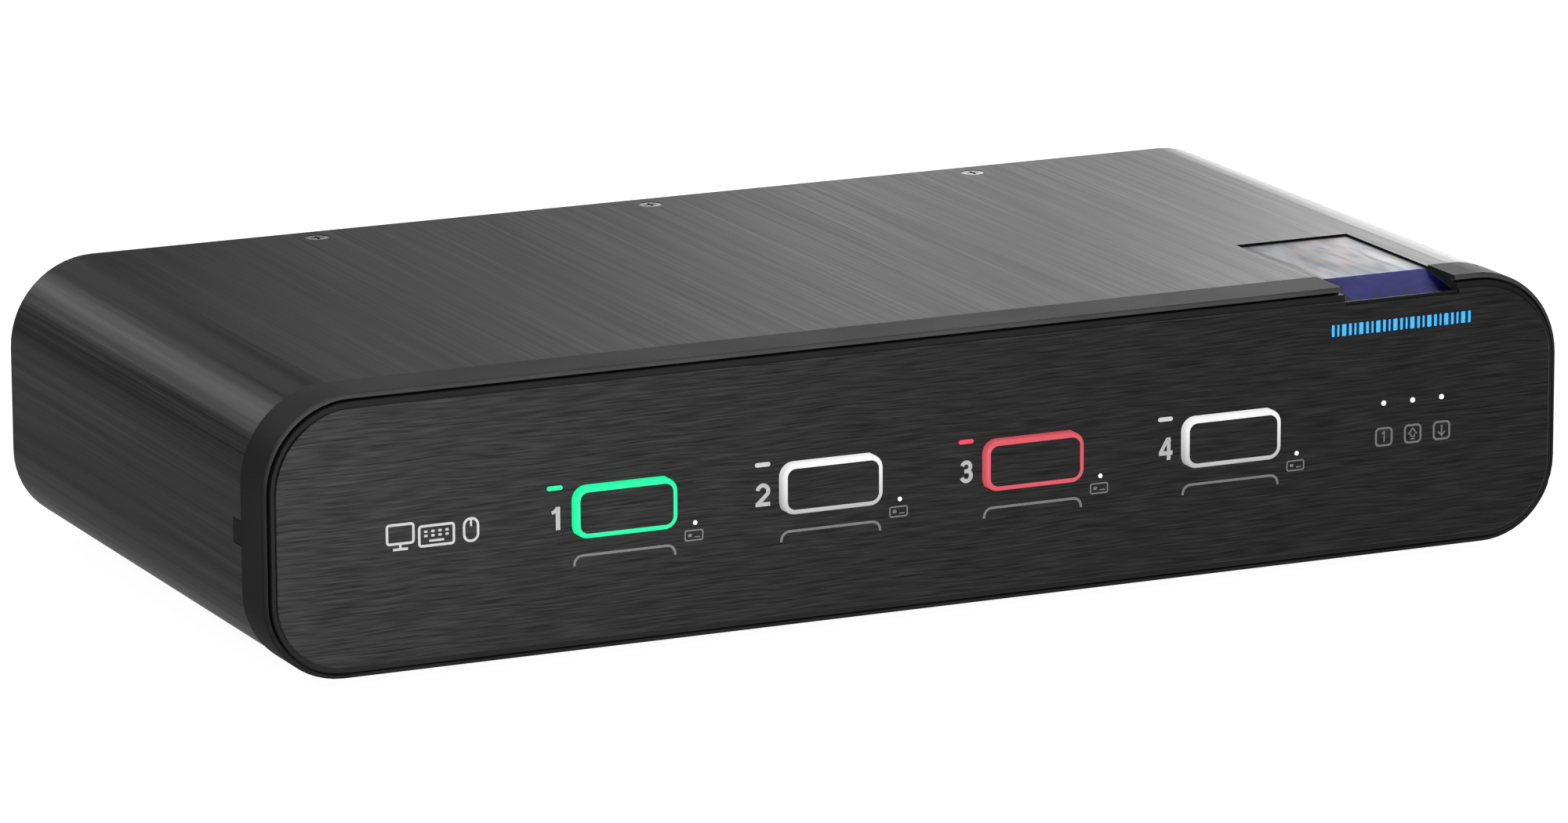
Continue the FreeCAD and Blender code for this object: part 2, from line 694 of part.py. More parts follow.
def button_cap(x):
    """Clear lit cap: a ring in front, a web behind it and a retaining flange behind the panel."""
    body = button_block(x, 0, BUTTON_FRONT, FLANGE_BACK)
    body = body.makeFillet(BUTTON_EASE, front_edges(body, BUTTON_FRONT))
    body = body.fuse(button_block(x, FLANGE_GROW, FLANGE_FRONT, FLANGE_BACK))
    pocket = button_block(x, -BUTTON_RIM, BUTTON_FRONT - PAST, BUTTON_FRONT + FACE_THICKNESS)
    cavity = button_block(x, -BUTTON_RIM - CAVITY_SHRINK, CAP_WEB_BACK, FLANGE_BACK + PAST)
    return body.cut([pocket, cavity])


def button_face(x):
    """Dark insert, flush with the cap's ring."""
    return button_block(x, -BUTTON_RIM - FACE_GAP, BUTTON_FRONT, BUTTON_FRONT + FACE_THICKNESS)


def button_plunger(x):
    """Plate that sits in the cap's back, with the stem that presses the switch."""
    plate_back = CAP_WEB_BACK + PLUNGER_THICKNESS
    plate = button_block(x, -BUTTON_RIM - PLUNGER_SHRINK, CAP_WEB_BACK, plate_back)
    stem = rod(PLUNGER_STEM_RADIUS, x, BUTTON_Z, plate_back, STEM_FRONT)
    return plate.fuse(stem)


def switch_stem(x):
    """Moving stem of the tactile switch, with its collar inside the housing."""
    stem = rod(STEM_RADIUS, x, BUTTON_Z, STEM_FRONT, STEM_BACK)
    collar = rod(STEM_COLLAR_RADIUS, x, BUTTON_Z, STEM_BACK - STEM_COLLAR_LENGTH, STEM_BACK)
    return stem.fuse(collar)


def switch_housings():
    """Four tactile switch housings on the front board, each bored for its stem."""
    half = SWITCH_SIZE / 2
    mouth_back = SWITCH_FRONT + SWITCH_MOUTH
    pieces = []
    for x in BUTTON_XS:
        block = box(x - half, x + half, SWITCH_FRONT, FRONT_BOARD_Y, BUTTON_Z - half, BUTTON_Z + half)
        mouth = rod(STEM_RADIUS + STEM_GAP, x, BUTTON_Z, SWITCH_FRONT, mouth_back)
        bore = rod(STEM_COLLAR_RADIUS + STEM_GAP, x, BUTTON_Z, mouth_back, SWITCH_FRONT + SWITCH_BORE)
        pieces.append(block.cut([mouth, bore]))
    return Part.makeCompound(pieces)


# ---------------------------------------------------------------- lights and front board

def port_light(x):
    """Light pipe of a port's dash, wider behind the panel."""
    front = port_light_block(x, 0, LIGHT_FRONT, PANEL_BACK)
    back = port_light_block(x, LIGHT_FLARE, PANEL_BACK, LIGHT_BACK)
    return front.fuse(back)


def round_light_pipes():
    pipes = []
    for x, z, radius in round_lights():
        front = rod(radius, x, z, LIGHT_FRONT, PANEL_BACK)
        back = rod(radius + LIGHT_FLARE, x, z, PANEL_BACK, LIGHT_BACK)
        pipes.append(front.fuse(back))
    return Part.makeCompound(pipes)


def status_leds():
    """Surface-mount lamps on the front board: two behind each button, one behind each light pipe."""
    places = []
    for x in BUTTON_XS:
        places.append((x - BUTTON_LED_DX, BUTTON_Z))
        places.append((x + BUTTON_LED_DX, BUTTON_Z))
        places.append((x + PORT_LIGHT_DX, PORT_LIGHT_Z))
    places += [(x, z) for x, z, radius in round_lights()]
    lamps = []
    for x, z in places:
        lamps.append(box(
            x - LED_WIDTH / 2, x + LED_WIDTH / 2, LIGHT_BACK + LED_GAP, FRONT_BOARD_Y,
            z - LED_HEIGHT / 2, z + LED_HEIGHT / 2))
    return Part.makeCompound(lamps)


def front_board():
    board = box(*FRONT_BOARD_X, FRONT_BOARD_Y, FRONT_BOARD_Y + BOARD, *FRONT_BOARD_Z)
    holes = []
    for x in BOSS_XS:
        for z in BOSS_ZS:
            holes.append(rod(SMALL_SHANK_RADIUS + HOLE_GAP, x, z, FRONT_BOARD_Y, FRONT_BOARD_Y + BOARD))
    return board.cut(holes)


# ---------------------------------------------------------------- inner boards and what they carry

def main_board():
    board = box(-BOARD_HALF_WIDTH, BOARD_HALF_WIDTH, MAIN_BOARD_FRONT, BOARD_REAR, MAIN_BOARD_Z, MAIN_TOP)
    holes = [post(POST_HOLE_RADIUS, x, y, MAIN_BOARD_Z, MAIN_TOP) for x, y in post_places()]
    return board.cut(holes)


def video_board():
    board = box(-BOARD_HALF_WIDTH, BOARD_HALF_WIDTH, VIDEO_BOARD_FRONT, BOARD_REAR, VIDEO_BOARD_Z, VIDEO_TOP)
    holes = [post(POST_HOLE_RADIUS, x, y, VIDEO_BOARD_Z, VIDEO_TOP) for x, y in stacked_places()]
    return board.cut(holes)


def board_connectors():
    """Plug and socket halves of the connector between the two boards."""
    socket = box(*LINK_X, *LINK_Y, MAIN_TOP, LINK_SPLIT)
    plug = box(
        LINK_X[0] + LINK_STEP, LINK_X[1] - LINK_STEP, LINK_Y[0] + LINK_STEP, LINK_Y[1] - LINK_STEP,
        LINK_SPLIT, VIDEO_BOARD_Z)
    return Part.makeCompound([socket, plug])


def ribbon_headers():
    """The ribbon cable's two plugs, on the front board and on the main board."""
    back = FRONT_BOARD_Y + BOARD
    half = HEADER_LENGTH / 2
    upright = box(
        -HEADER_HALF_WIDTH, HEADER_HALF_WIDTH, back, back + HEADER_LENGTH,
        RIBBON_Z - half, RIBBON_Z + half)
    flat = box(
        -HEADER_HALF_WIDTH, HEADER_HALF_WIDTH, RIBBON_Y - half, RIBBON_Y + half,
        MAIN_TOP, MAIN_TOP + HEADER_LENGTH)
    return Part.makeCompound([upright, flat])


def ribbon_cable():
    """Flat cable: straight back from the front board, one bend, straight down to the main board."""
    half = RIBBON_THICKNESS / 2
    across = (-RIBBON_HALF_WIDTH, RIBBON_HALF_WIDTH)
    bend_y = RIBBON_Y - RIBBON_BEND
    bend_z = RIBBON_Z - RIBBON_BEND
    level = box(*across, FRONT_BOARD_Y + BOARD + HEADER_LENGTH, bend_y, RIBBON_Z - half, RIBBON_Z + half)
    drop = box(*across, RIBBON_Y - half, RIBBON_Y + half, MAIN_TOP + HEADER_LENGTH, bend_z)
    axis = V(1, 0, 0)
    centre = V(-RIBBON_HALF_WIDTH, bend_y, bend_z)
    outer = Part.makeCylinder(RIBBON_BEND + half, 2 * RIBBON_HALF_WIDTH, centre, axis)
    inner = Part.makeCylinder(RIBBON_BEND - half, 2 * RIBBON_HALF_WIDTH, centre, axis)
    reach = RIBBON_BEND + RIBBON_THICKNESS
    quarter = box(*across, bend_y, bend_y + reach, bend_z, bend_z + reach)
    bend = outer.cut(inner).common(quarter)
    return level.fuse([bend, drop]).removeSplitter()


def square_package(size, x, y, z, height):
    half = size / 2
    return box(x - half, x + half, y - half, y + half, z, z + height)


def chips():
    """Square packages: one controller for each channel, a larger one, and the video switch above."""
    pieces = [square_package(CHIP_SIZE, x, CHIP_Y, MAIN_TOP, CHIP_HEIGHT) for x in CHANNEL_XS]
    pieces.append(square_package(LARGE_CHIP_SIZE, LARGE_CHIP_X, CHIP_Y, MAIN_TOP, LARGE_CHIP_HEIGHT))
    pieces.append(square_package(
        LARGE_CHIP_SIZE, VIDEO_CHIP_X, VIDEO_CHIP_Y, VIDEO_TOP, LARGE_CHIP_HEIGHT))
    return Part.makeCompound(pieces)


def heat_sink():
    """Finned block on the video switch chip."""
    base_low = VIDEO_TOP + LARGE_CHIP_HEIGHT
    base_high = base_low + SINK_BASE
    left = VIDEO_CHIP_X - SINK_SIZE / 2
    y = (VIDEO_CHIP_Y - SINK_SIZE / 2, VIDEO_CHIP_Y + SINK_SIZE / 2)
    base = box(left, left + SINK_SIZE, *y, base_low, base_high)
    fins = []
    for index in range(SINK_FIN_COUNT):
        x = left + index * SINK_FIN_PITCH
        fins.append(box(x, x + SINK_FIN, *y, base_high, base_high + SINK_FIN_HEIGHT))
    return base.fuse(fins).removeSplitter()


def backup_battery():
    """Coin cell that keeps the tamper circuit alive, in its holder."""
    floor = MAIN_TOP + HOLDER_FLOOR
    top = MAIN_TOP + HOLDER_HEIGHT
    cell = post(CELL_RADIUS, CELL_X, CELL_Y, floor, floor + CELL_HEIGHT)
    holder = post(HOLDER_RADIUS, CELL_X, CELL_Y, MAIN_TOP, top)
    hollow = post(CELL_RADIUS + CELL_GAP, CELL_X, CELL_Y, floor, top)
    return Part.makeCompound([cell, holder.cut(hollow)])


def capacitors():
    """Three upright cans near the power inlet."""
    cans = []
    for x in CAPACITOR_XS:
        can = post(CAPACITOR_RADIUS, x, CAPACITOR_Y, MAIN_TOP, MAIN_TOP + CAPACITOR_HEIGHT)
        top = [edge for edge in can.Edges if edge.BoundBox.ZMin > MAIN_TOP + CAPACITOR_HEIGHT / 2]
        cans.append(can.makeFillet(CAPACITOR_ROUNDING, top))
    return Part.makeCompound(cans)


# ---------------------------------------------------------------- rear sockets

def video_xs():
    return CHANNEL_XS + (VIDEO_OUT_X,)


def video_outline(x, grow):
    """Flat six-sided outline of a video socket, narrower below."""
    half = VIDEO_WIDTH / 2 + grow
    low = VIDEO_TOP + VIDEO_LIFT - grow
    high = VIDEO_TOP + VIDEO_LIFT + VIDEO_HEIGHT + grow
    corner = VIDEO_CORNER
    return [
        (x - half, high), (x - half, low + corner), (x - half + corner, low),
        (x + half - corner, low), (x + half, low + corner), (x + half, high)]


def video_shells():
    """Steel shells of the four video inputs and the video output."""
    front = MOUTH_Y - VIDEO_LENGTH
    shells = []
    for x in video_xs():
        outer = rear_profile(video_outline(x, 0), front, MOUTH_Y)
        inner = rear_profile(video_outline(x, -SHELL), front + INSERT_ROOT, MOUTH_Y + PAST)
        pad = box(
            x - VIDEO_PAD_HALF_WIDTH, x + VIDEO_PAD_HALF_WIDTH, front, BOARD_REAR,
            VIDEO_TOP, VIDEO_TOP + VIDEO_LIFT)
        shells.append(outer.cut(inner).fuse(pad))
    return Part.makeCompound(shells)


def video_inserts():
    """Insulating tongues inside the video shells."""
    root = MOUTH_Y - VIDEO_LENGTH + INSERT_ROOT
    half_width = VIDEO_TONGUE[0] / 2
    half_height = VIDEO_TONGUE[1] / 2
    pieces = []
    for x in video_xs():
        block = rear_profile(video_outline(x, -SHELL - INSERT_GAP), root, root + INSERT_ROOT)
        tongue = box(
            x - half_width, x + half_width, root + INSERT_ROOT, MOUTH_Y - TONGUE_INSET,
            VIDEO_TONGUE_Z - half_height, VIDEO_TONGUE_Z + half_height)
        pieces.append(block.fuse(tongue))
    return Part.makeCompound(pieces)


def usb_b_opening(x, grow, y0, y1):
    """Nearly square opening with its two top corners cut off."""
    half = USB_B_OPENING[0] / 2 + grow
    middle = MAIN_TOP + USB_B_HEIGHT / 2
    low = middle - USB_B_OPENING[1] / 2 - grow
    high = middle + USB_B_OPENING[1] / 2 + grow
    corner = USB_B_CORNER
    outline = [
        (x - half, low), (x + half, low), (x + half, high - corner),
        (x + half - corner, high), (x - half + corner, high), (x - half, high - corner)]
    return rear_profile(outline, y0, y1)


def usb_b_shells():
    """Upright USB-B sockets, one for each computer."""
    front = MOUTH_Y - USB_B_LENGTH
    shells = []
    for channel in CHANNEL_XS:
        x = channel + USB_B_DX
        block = box(
            x - USB_B_WIDTH / 2, x + USB_B_WIDTH / 2, front, MOUTH_Y, MAIN_TOP, MAIN_TOP + USB_B_HEIGHT)
        shells.append(block.cut(usb_b_opening(x, 0, front + SOCKET_FLOOR, MOUTH_Y + PAST)))
    return Part.makeCompound(shells)


def usb_b_inserts():
    """Square insulating tongues in the middle of the USB-B openings."""
    root = MOUTH_Y - USB_B_LENGTH + SOCKET_FLOOR
    middle = MAIN_TOP + USB_B_HEIGHT / 2
    half_width = USB_B_TONGUE[0] / 2
    half_height = USB_B_TONGUE[1] / 2
    pieces = []
    for channel in CHANNEL_XS:
        x = channel + USB_B_DX
        block = usb_b_opening(x, -INSERT_GAP, root, root + INSERT_ROOT)
        tongue = box(
            x - half_width, x + half_width, root + INSERT_ROOT, MOUTH_Y - USB_B_TONGUE_INSET,
            middle - half_height, middle + half_height)
        pieces.append(block.fuse(tongue))
    return Part.makeCompound(pieces)


def usb_a_ports():
    """Each USB-A opening as (x, centre height): two stacked, and the card reader's."""
    half = USB_A_PORT_HEIGHT / 2
    return [
        (STACK_X, MAIN_TOP + half),
        (STACK_X, MAIN_TOP + USB_A_PORT_HEIGHT + half),
        (CARD_SOCKET_X, MAIN_TOP + half)]


def usb_a_opening(x, z, grow, y0, y1):
    half_width = USB_A_OPENING[0] / 2 + grow
    half_height = USB_A_OPENING[1] / 2 + grow
    return box(x - half_width, x + half_width, y0, y1, z - half_height, z + half_height)


def usb_a_shells():
    """The stacked keyboard and mouse sockets, and the card reader's single socket."""
    front = MOUTH_Y - USB_A_LENGTH
    half = USB_A_WIDTH / 2
    stack = box(
        STACK_X - half, STACK_X + half, front, MOUTH_Y, MAIN_TOP, MAIN_TOP + 2 * USB_A_PORT_HEIGHT)
    single = box(
        CARD_SOCKET_X - half, CARD_SOCKET_X + half, front, MOUTH_Y, MAIN_TOP, MAIN_TOP + USB_A_PORT_HEIGHT)
    openings = [
        usb_a_opening(x, z, 0, front + SOCKET_FLOOR, MOUTH_Y + PAST) for x, z in usb_a_ports()]
    return Part.makeCompound([stack.cut(openings), single.cut(openings)])


def usb_a_inserts():
    """Flat insulating tongues in the upper half of each USB-A opening."""
    root = MOUTH_Y - USB_A_LENGTH + SOCKET_FLOOR
    half = USB_A_TONGUE_WIDTH / 2
    pieces = []
    for x, z in usb_a_ports():
        block = usb_a_opening(x, z, -INSERT_GAP, root, root + INSERT_ROOT)
        tongue = box(
            x - half, x + half, root + INSERT_ROOT, MOUTH_Y - TONGUE_INSET,
            z + USB_A_TONGUE_Z[0], z + USB_A_TONGUE_Z[1])
        pieces.append(block.fuse(tongue))
    return Part.makeCompound(pieces)


def audio_xs():
    return [x + AUDIO_DX for x in CHANNEL_XS] + [AUDIO_OUT_X]


def audio_jacks():
    """Five 3.5 mm jacks: a body on the board and a round barrel through the rear panel."""
    pieces = []
    for x in audio_xs():
        body = box(
            x - AUDIO_BODY_HALF_WIDTH, x + AUDIO_BODY_HALF_WIDTH, AUDIO_BODY_FRONT, BOARD_REAR,
            MAIN_TOP, MAIN_TOP + AUDIO_BODY_HEIGHT)
        barrel = rod(AUDIO_BARREL, x, AUDIO_Z, BOARD_REAR, JACK_MOUTH_Y)
        bore = rod(AUDIO_BORE, x, AUDIO_Z, JACK_MOUTH_Y - AUDIO_BORE_LENGTH, JACK_MOUTH_Y)
        pieces.append(body.fuse(barrel).cut(bore))
    return Part.makeCompound(pieces)


def remote_jack():
    """Modular jack for a wired remote, with a stepped slot for the plug's latch."""
    front = MOUTH_Y - REMOTE_LENGTH
    half = REMOTE_WIDTH / 2
    block = box(REMOTE_X - half, REMOTE_X + half, front, MOUTH_Y, MAIN_TOP, MAIN_TOP + REMOTE_HEIGHT)
    half_opening = REMOTE_OPENING[0] / 2
    low = REMOTE_OPENING_LOW
    y = (MOUTH_Y - REMOTE_OPENING_DEPTH, MOUTH_Y)
    opening = box(REMOTE_X - half_opening, REMOTE_X + half_opening, *y, low, low + REMOTE_OPENING[1])
    latch = box(REMOTE_X - LATCH_HALF_WIDTH, REMOTE_X + LATCH_HALF_WIDTH, *y, low - LATCH_DEPTH, low)
    catch = box(
        REMOTE_X - CATCH_HALF_WIDTH, REMOTE_X + CATCH_HALF_WIDTH, *y, low - CATCH_DEPTH, low - LATCH_DEPTH)
    return block.cut([opening, latch, catch])


def dc_jack():
    """Barrel socket for the power adapter, with its centre pin as a second solid."""
    front = MOUTH_Y - DC_LENGTH
    root = MOUTH_Y - DC_DEPTH
    half = DC_WIDTH / 2
    block = box(DC_X - half, DC_X + half, front, MOUTH_Y, MAIN_TOP, MAIN_TOP + DC_HEIGHT)
    barrel = rod(DC_BARREL, DC_X, DC_Z, root, MOUTH_Y)
    pin = rod(DC_PIN, DC_X, DC_Z, root, root + DC_PIN_LENGTH)
    return Part.makeCompound([block.cut(barrel), pin])


def board_socket_cutter(x, width, height, y0, y1):
    """Cut-out for a square socket that stands on the main board."""
    half = width / 2 + CUTOUT_GAP
    return box(x - half, x + half, y0, y1, MAIN_TOP - CUTOUT_GAP, MAIN_TOP + height + CUTOUT_GAP)


def socket_cutters(y0, y1):
    cutters = [rear_profile(video_outline(x, CUTOUT_GAP), y0, y1) for x in video_xs()]
    cutters += [rod(AUDIO_BARREL + CUTOUT_GAP, x, AUDIO_Z, y0, y1) for x in audio_xs()]
    squares = [(channel + USB_B_DX, USB_B_WIDTH, USB_B_HEIGHT) for channel in CHANNEL_XS]
    squares.append((STACK_X, USB_A_WIDTH, 2 * USB_A_PORT_HEIGHT))
    squares.append((CARD_SOCKET_X, USB_A_WIDTH, USB_A_PORT_HEIGHT))
    squares.append((REMOTE_X, REMOTE_WIDTH, REMOTE_HEIGHT))
    squares.append((DC_X, DC_WIDTH, DC_HEIGHT))
    for x, width, height in squares:
        cutters.append(board_socket_cutter(x, width, height, y0, y1))
    return cutters


def vent_cutters(y0, y1):
    """A row of upright slots with round ends."""
    half = VENT_WIDTH / 2
    slots = []
    for index in range(-VENT_HALF_COUNT, VENT_HALF_COUNT + 1):
        x = index * VENT_PITCH
        slots.append(rounded_plate(
            x - half, x + half, VENT_LOW, VENT_HIGH, half - NEARLY, half - NEARLY, y0, y1))
    return slots


def rear_panel():
    """Folded steel panel: a flange on the tray below, three tabs under the sleeve's top, and cut-outs."""
    plate = casing_block(REAR_PANEL_INSET, PANEL_INNER_FACE, PANEL_REAR_FACE)
    flange_front = PANEL_INNER_FACE - FLANGE_REACH
    tab_top = HEIGHT - SLEEVE_INNER - SHEET_GAP
    additions = [box(
        -BOARD_HALF_WIDTH, BOARD_HALF_WIDTH, flange_front, PANEL_INNER_FACE, TRAY_TOP, TRAY_TOP + SHEET)]
    cutters = []
    for x in SCREW_XS:
        additions.append(box(
            x - TAB_HALF_WIDTH, x + TAB_HALF_WIDTH, flange_front, PANEL_REAR_FACE, tab_top - SHEET, tab_top))
        cutters.append(post(FLAT_SHANK_RADIUS + THREAD_GAP, x, SCREW_Y, 0, HEIGHT))
    y0 = PANEL_INNER_FACE - PAST
    y1 = PANEL_REAR_FACE + PAST
    return plate.fuse(additions).cut(cutters + socket_cutters(y0, y1) + vent_cutters(y0, y1))


# ---------------------------------------------------------------- output

def save(name, shape):
    """Write one node, moved to the final origin."""
    moved = shape.copy()
    moved.translate(V(0, ORIGIN_Y, FOOT_HEIGHT))
    moved.exportStep(os.path.join("parts", name + ".step"))
    print("%-20s solids %2d  volume %10.1f  valid %s" % (
        name, len(moved.Solids), moved.Volume, moved.isValid()))


SINGLE_NODES = (
    sleeve, front_bezel, front_panel, front_overlay, tamper_label, rear_panel, chassis_tray,
    top_screws, bottom_screws, panel_screws, board_screws, standoffs, spacers,
    switch_housings, round_light_pipes, status_leds, front_board, main_board, video_board,
    board_connectors, ribbon_headers, ribbon_cable, chips, heat_sink, backup_battery, capacitors,
    video_shells, video_inserts, usb_b_shells, usb_b_inserts, usb_a_shells, usb_a_inserts,
    audio_jacks, remote_jack, dc_jack)
BUTTON_NODES = (button_cap, button_face, button_plunger, switch_stem, port_light)


def main():
    os.makedirs("parts", exist_ok=True)
    for make in SINGLE_NODES:
        save(make.__name__, make())
    for number, x in enumerate(BUTTON_XS, start=1):
        for make in BUTTON_NODES:
            save("%s_%d" % (make.__name__, number), make(x))
    places = [(x, y) for y in FOOT_YS for x in (-FOOT_X, FOOT_X)]
    for number, (x, y) in enumerate(places, start=1):
        save("foot_%d" % number, foot(x, y))


main()
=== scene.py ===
import math

import bpy
from mathutils import Matrix, Vector


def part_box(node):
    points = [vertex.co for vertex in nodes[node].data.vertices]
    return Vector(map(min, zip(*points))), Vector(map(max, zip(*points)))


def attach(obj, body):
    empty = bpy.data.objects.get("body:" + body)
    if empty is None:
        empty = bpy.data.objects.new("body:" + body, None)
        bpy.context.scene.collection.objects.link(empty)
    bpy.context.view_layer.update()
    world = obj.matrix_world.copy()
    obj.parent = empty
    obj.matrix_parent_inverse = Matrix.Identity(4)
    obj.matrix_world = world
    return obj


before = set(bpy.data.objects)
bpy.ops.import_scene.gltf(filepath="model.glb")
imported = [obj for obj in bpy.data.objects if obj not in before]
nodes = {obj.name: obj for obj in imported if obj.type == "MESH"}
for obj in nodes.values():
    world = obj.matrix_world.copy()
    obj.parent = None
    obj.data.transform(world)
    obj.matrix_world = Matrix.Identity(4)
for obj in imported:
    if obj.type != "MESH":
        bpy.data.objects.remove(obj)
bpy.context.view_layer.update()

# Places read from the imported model, in metres. The front faces -Y and the sockets face +Y.
MM = 0.001
BEZEL_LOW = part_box("front_bezel")[0]
FRONT_Y = BEZEL_LOW.y                  # foremost plane of the bezel
BASE_Z = BEZEL_LOW.z                   # underside of the casing
FACE_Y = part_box("front_overlay")[0].y  # brushed face of the front
REAR_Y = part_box("rear_panel")[1].y     # outer face of the rear panel
SEAM_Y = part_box("sleeve")[0].y         # where the sleeve meets the bezel
LABEL_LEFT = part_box("tamper_label")[0].x
BUTTONS = (1, 2, 3, 4)


def button_centre(number):
    low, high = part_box("button_face_%d" % number)
    return (low.x + high.x) / 2, (low.z + high.z) / 2


BUTTON_Z = button_centre(1)[1]
BUTTON_HALF_HEIGHT = 6 * MM


# ---------------------------------------------------------------- camera

CAMERA_YAW = math.radians(24.643)      # turned to the right of straight ahead
CAMERA_PITCH = math.radians(13.314)    # looking down
CAMERA_ROLL = math.radians(-0.266)
CAMERA_DISTANCE = 2.0911
CAMERA_LENS = 201.03                   # mm, on a 36 mm wide frame
CAMERA_AIM = Vector((0, 82.5, 33)) * MM   # from the bezel's front plane and the casing's underside
CAMERA_SLIDE = (0.666 * MM, -3.682 * MM)  # of the aim, to the right and up


def make_camera():
    forward = Vector((
        math.sin(CAMERA_YAW) * math.cos(CAMERA_PITCH),
        math.cos(CAMERA_YAW) * math.cos(CAMERA_PITCH),
        -math.sin(CAMERA_PITCH)))
    right = Vector((math.cos(CAMERA_YAW), -math.sin(CAMERA_YAW), 0))
    up = right.cross(forward)
    aim = CAMERA_AIM + Vector((0, FRONT_Y, BASE_Z)) + right * CAMERA_SLIDE[0] + up * CAMERA_SLIDE[1]
    place = aim - forward * CAMERA_DISTANCE
    rolled_right = right * math.cos(CAMERA_ROLL) + up * math.sin(CAMERA_ROLL)
    rolled_up = up * math.cos(CAMERA_ROLL) - right * math.sin(CAMERA_ROLL)
    data = bpy.data.cameras.new("camera")
    data.lens = CAMERA_LENS
    data.sensor_width = 36
    data.clip_end = 100
    camera = bpy.data.objects.new("camera", data)
    bpy.context.scene.collection.objects.link(camera)
    camera.matrix_world = Matrix((
        (rolled_right.x, rolled_up.x, -forward.x, place.x),
        (rolled_right.y, rolled_up.y, -forward.y, place.y),
        (rolled_right.z, rolled_up.z, -forward.z, place.z),
        (0, 0, 0, 1)))
    bpy.context.scene.camera = camera


# ---------------------------------------------------------------- materials

class Surface:
    """A Principled material, with short helpers for the texture nodes that feed it."""

    def __init__(self, name, **values):
        self.material = bpy.data.materials.new(name)
        self.material.use_nodes = True
        self.tree = self.material.node_tree
        self.shader = self.tree.nodes["Principled BSDF"]
        for key, value in values.items():
            self.shader.inputs[key.replace("_", " ")].default_value = value
        self.place = self.tree.nodes.new("ShaderNodeTexCoord").outputs["Object"]

    def feed(self, socket, value):
        """Link a socket, or set it to a constant."""
        if hasattr(value, "is_linked"):
            self.tree.links.new(value, socket)
        else:
            socket.default_value = value

    def stretched(self, scale, place=None):
        node = self.tree.nodes.new("ShaderNodeMapping")
        node.inputs["Scale"].default_value = scale
        self.feed(node.inputs["Vector"], place or self.place)
        return node.outputs["Vector"]

    def noise(self, scale, detail=2.0, roughness=0.5, distortion=0.0, place=None):
        """Noise from 0 to 1. The scale is in features per metre along X, Y and Z."""
        node = self.tree.nodes.new("ShaderNodeTexNoise")
        node.inputs["Scale"].default_value = 1.0
        node.inputs["Detail"].default_value = detail
        node.inputs["Roughness"].default_value = roughness
        node.inputs["Distortion"].default_value = distortion
        self.feed(node.inputs["Vector"], self.stretched(scale, place))
        return node.outputs["Fac"]

    def ramp(self, value, *stops):
        """Colour ramp from (position, colour) stops."""
        node = self.tree.nodes.new("ShaderNodeValToRGB")
        elements = node.color_ramp.elements
        while len(elements) < len(stops):
            elements.new(0.5)
        for element, (position, colour) in zip(elements, stops):
            element.position = position
            element.color = (*colour, 1)
        self.feed(node.inputs["Fac"], value)
        return node.outputs["Color"]

    def remap(self, value, low, high, new_low, new_high):
        node = self.tree.nodes.new("ShaderNodeMapRange")
        limits = {"From Min": low, "From Max": high, "To Min": new_low, "To Max": new_high}
        for key, number in limits.items():
            node.inputs[key].default_value = number
        self.feed(node.inputs["Value"], value)
        return node.outputs["Result"]

    def math(self, operation, first, second):
        node = self.tree.nodes.new("ShaderNodeMath")
        node.operation = operation
        self.feed(node.inputs[0], first)
        self.feed(node.inputs[1], second)
        return node.outputs["Value"]

    def mix(self, factor, first, second, mode="MIX"):
        node = self.tree.nodes.new("ShaderNodeMix")
        node.data_type = "RGBA"
        node.blend_type = mode
        self.feed(node.inputs["Factor"], factor)
        for socket, value in ((node.inputs[6], first), (node.inputs[7], second)):
            self.feed(socket, value if hasattr(value, "is_linked") else (*value, 1))
        return node.outputs[2]

    def axis(self, letter):
        """One coordinate of the surface point, in metres."""
        node = self.tree.nodes.new("ShaderNodeSeparateXYZ")
        self.feed(node.inputs[0], self.place)
        return node.outputs[letter]

    def normal(self, letter):
        """One part of the surface's direction, from -1 to 1."""
        node = self.tree.nodes.new("ShaderNodeSeparateXYZ")
        place = self.tree.nodes.new("ShaderNodeTexCoord")
        self.feed(node.inputs[0], place.outputs["Normal"])
        return node.outputs[letter]

    def colour(self, value):
        self.feed(self.shader.inputs["Base Color"], value)
        return self

    def rough(self, value):
        self.feed(self.shader.inputs["Roughness"], value)
        return self

    def glow(self, colour, strength):
        self.feed(self.shader.inputs["Emission Color"], colour)
        self.shader.inputs["Emission Strength"].default_value = strength
        return self

    def bump(self, height, distance, strength=1.0):
        node = self.tree.nodes.new("ShaderNodeBump")
        node.inputs["Distance"].default_value = distance
        node.inputs["Strength"].default_value = strength
        self.feed(node.inputs["Height"], height)
        self.feed(self.shader.inputs["Normal"], node.outputs["Normal"])
        return self


def grey(level):
    return (level, level, level * 1.01)


def sleeve_metal():
    """Dark anodised aluminium, brushed from front to back."""
    surface = Surface("sleeve_metal", Metallic=1.0, Specular_Tint=(0.55, 0.55, 0.55, 1))
    fine = surface.noise((1500, 9, 1500), detail=3, roughness=0.65)
    broad = surface.noise((420, 4, 420), detail=3, roughness=0.6)
    both = surface.math("ADD", surface.math("MULTIPLY", fine, 0.5), surface.math("MULTIPLY", broad, 0.5))
    surface.colour(surface.ramp(both, (0.35, grey(0.016)), (0.5, grey(0.029)), (0.65, grey(0.045))))
    surface.rough(surface.remap(fine, 0.3, 0.7, 0.38, 0.50))
    return surface.bump(fine, 0.00003, 0.6).material


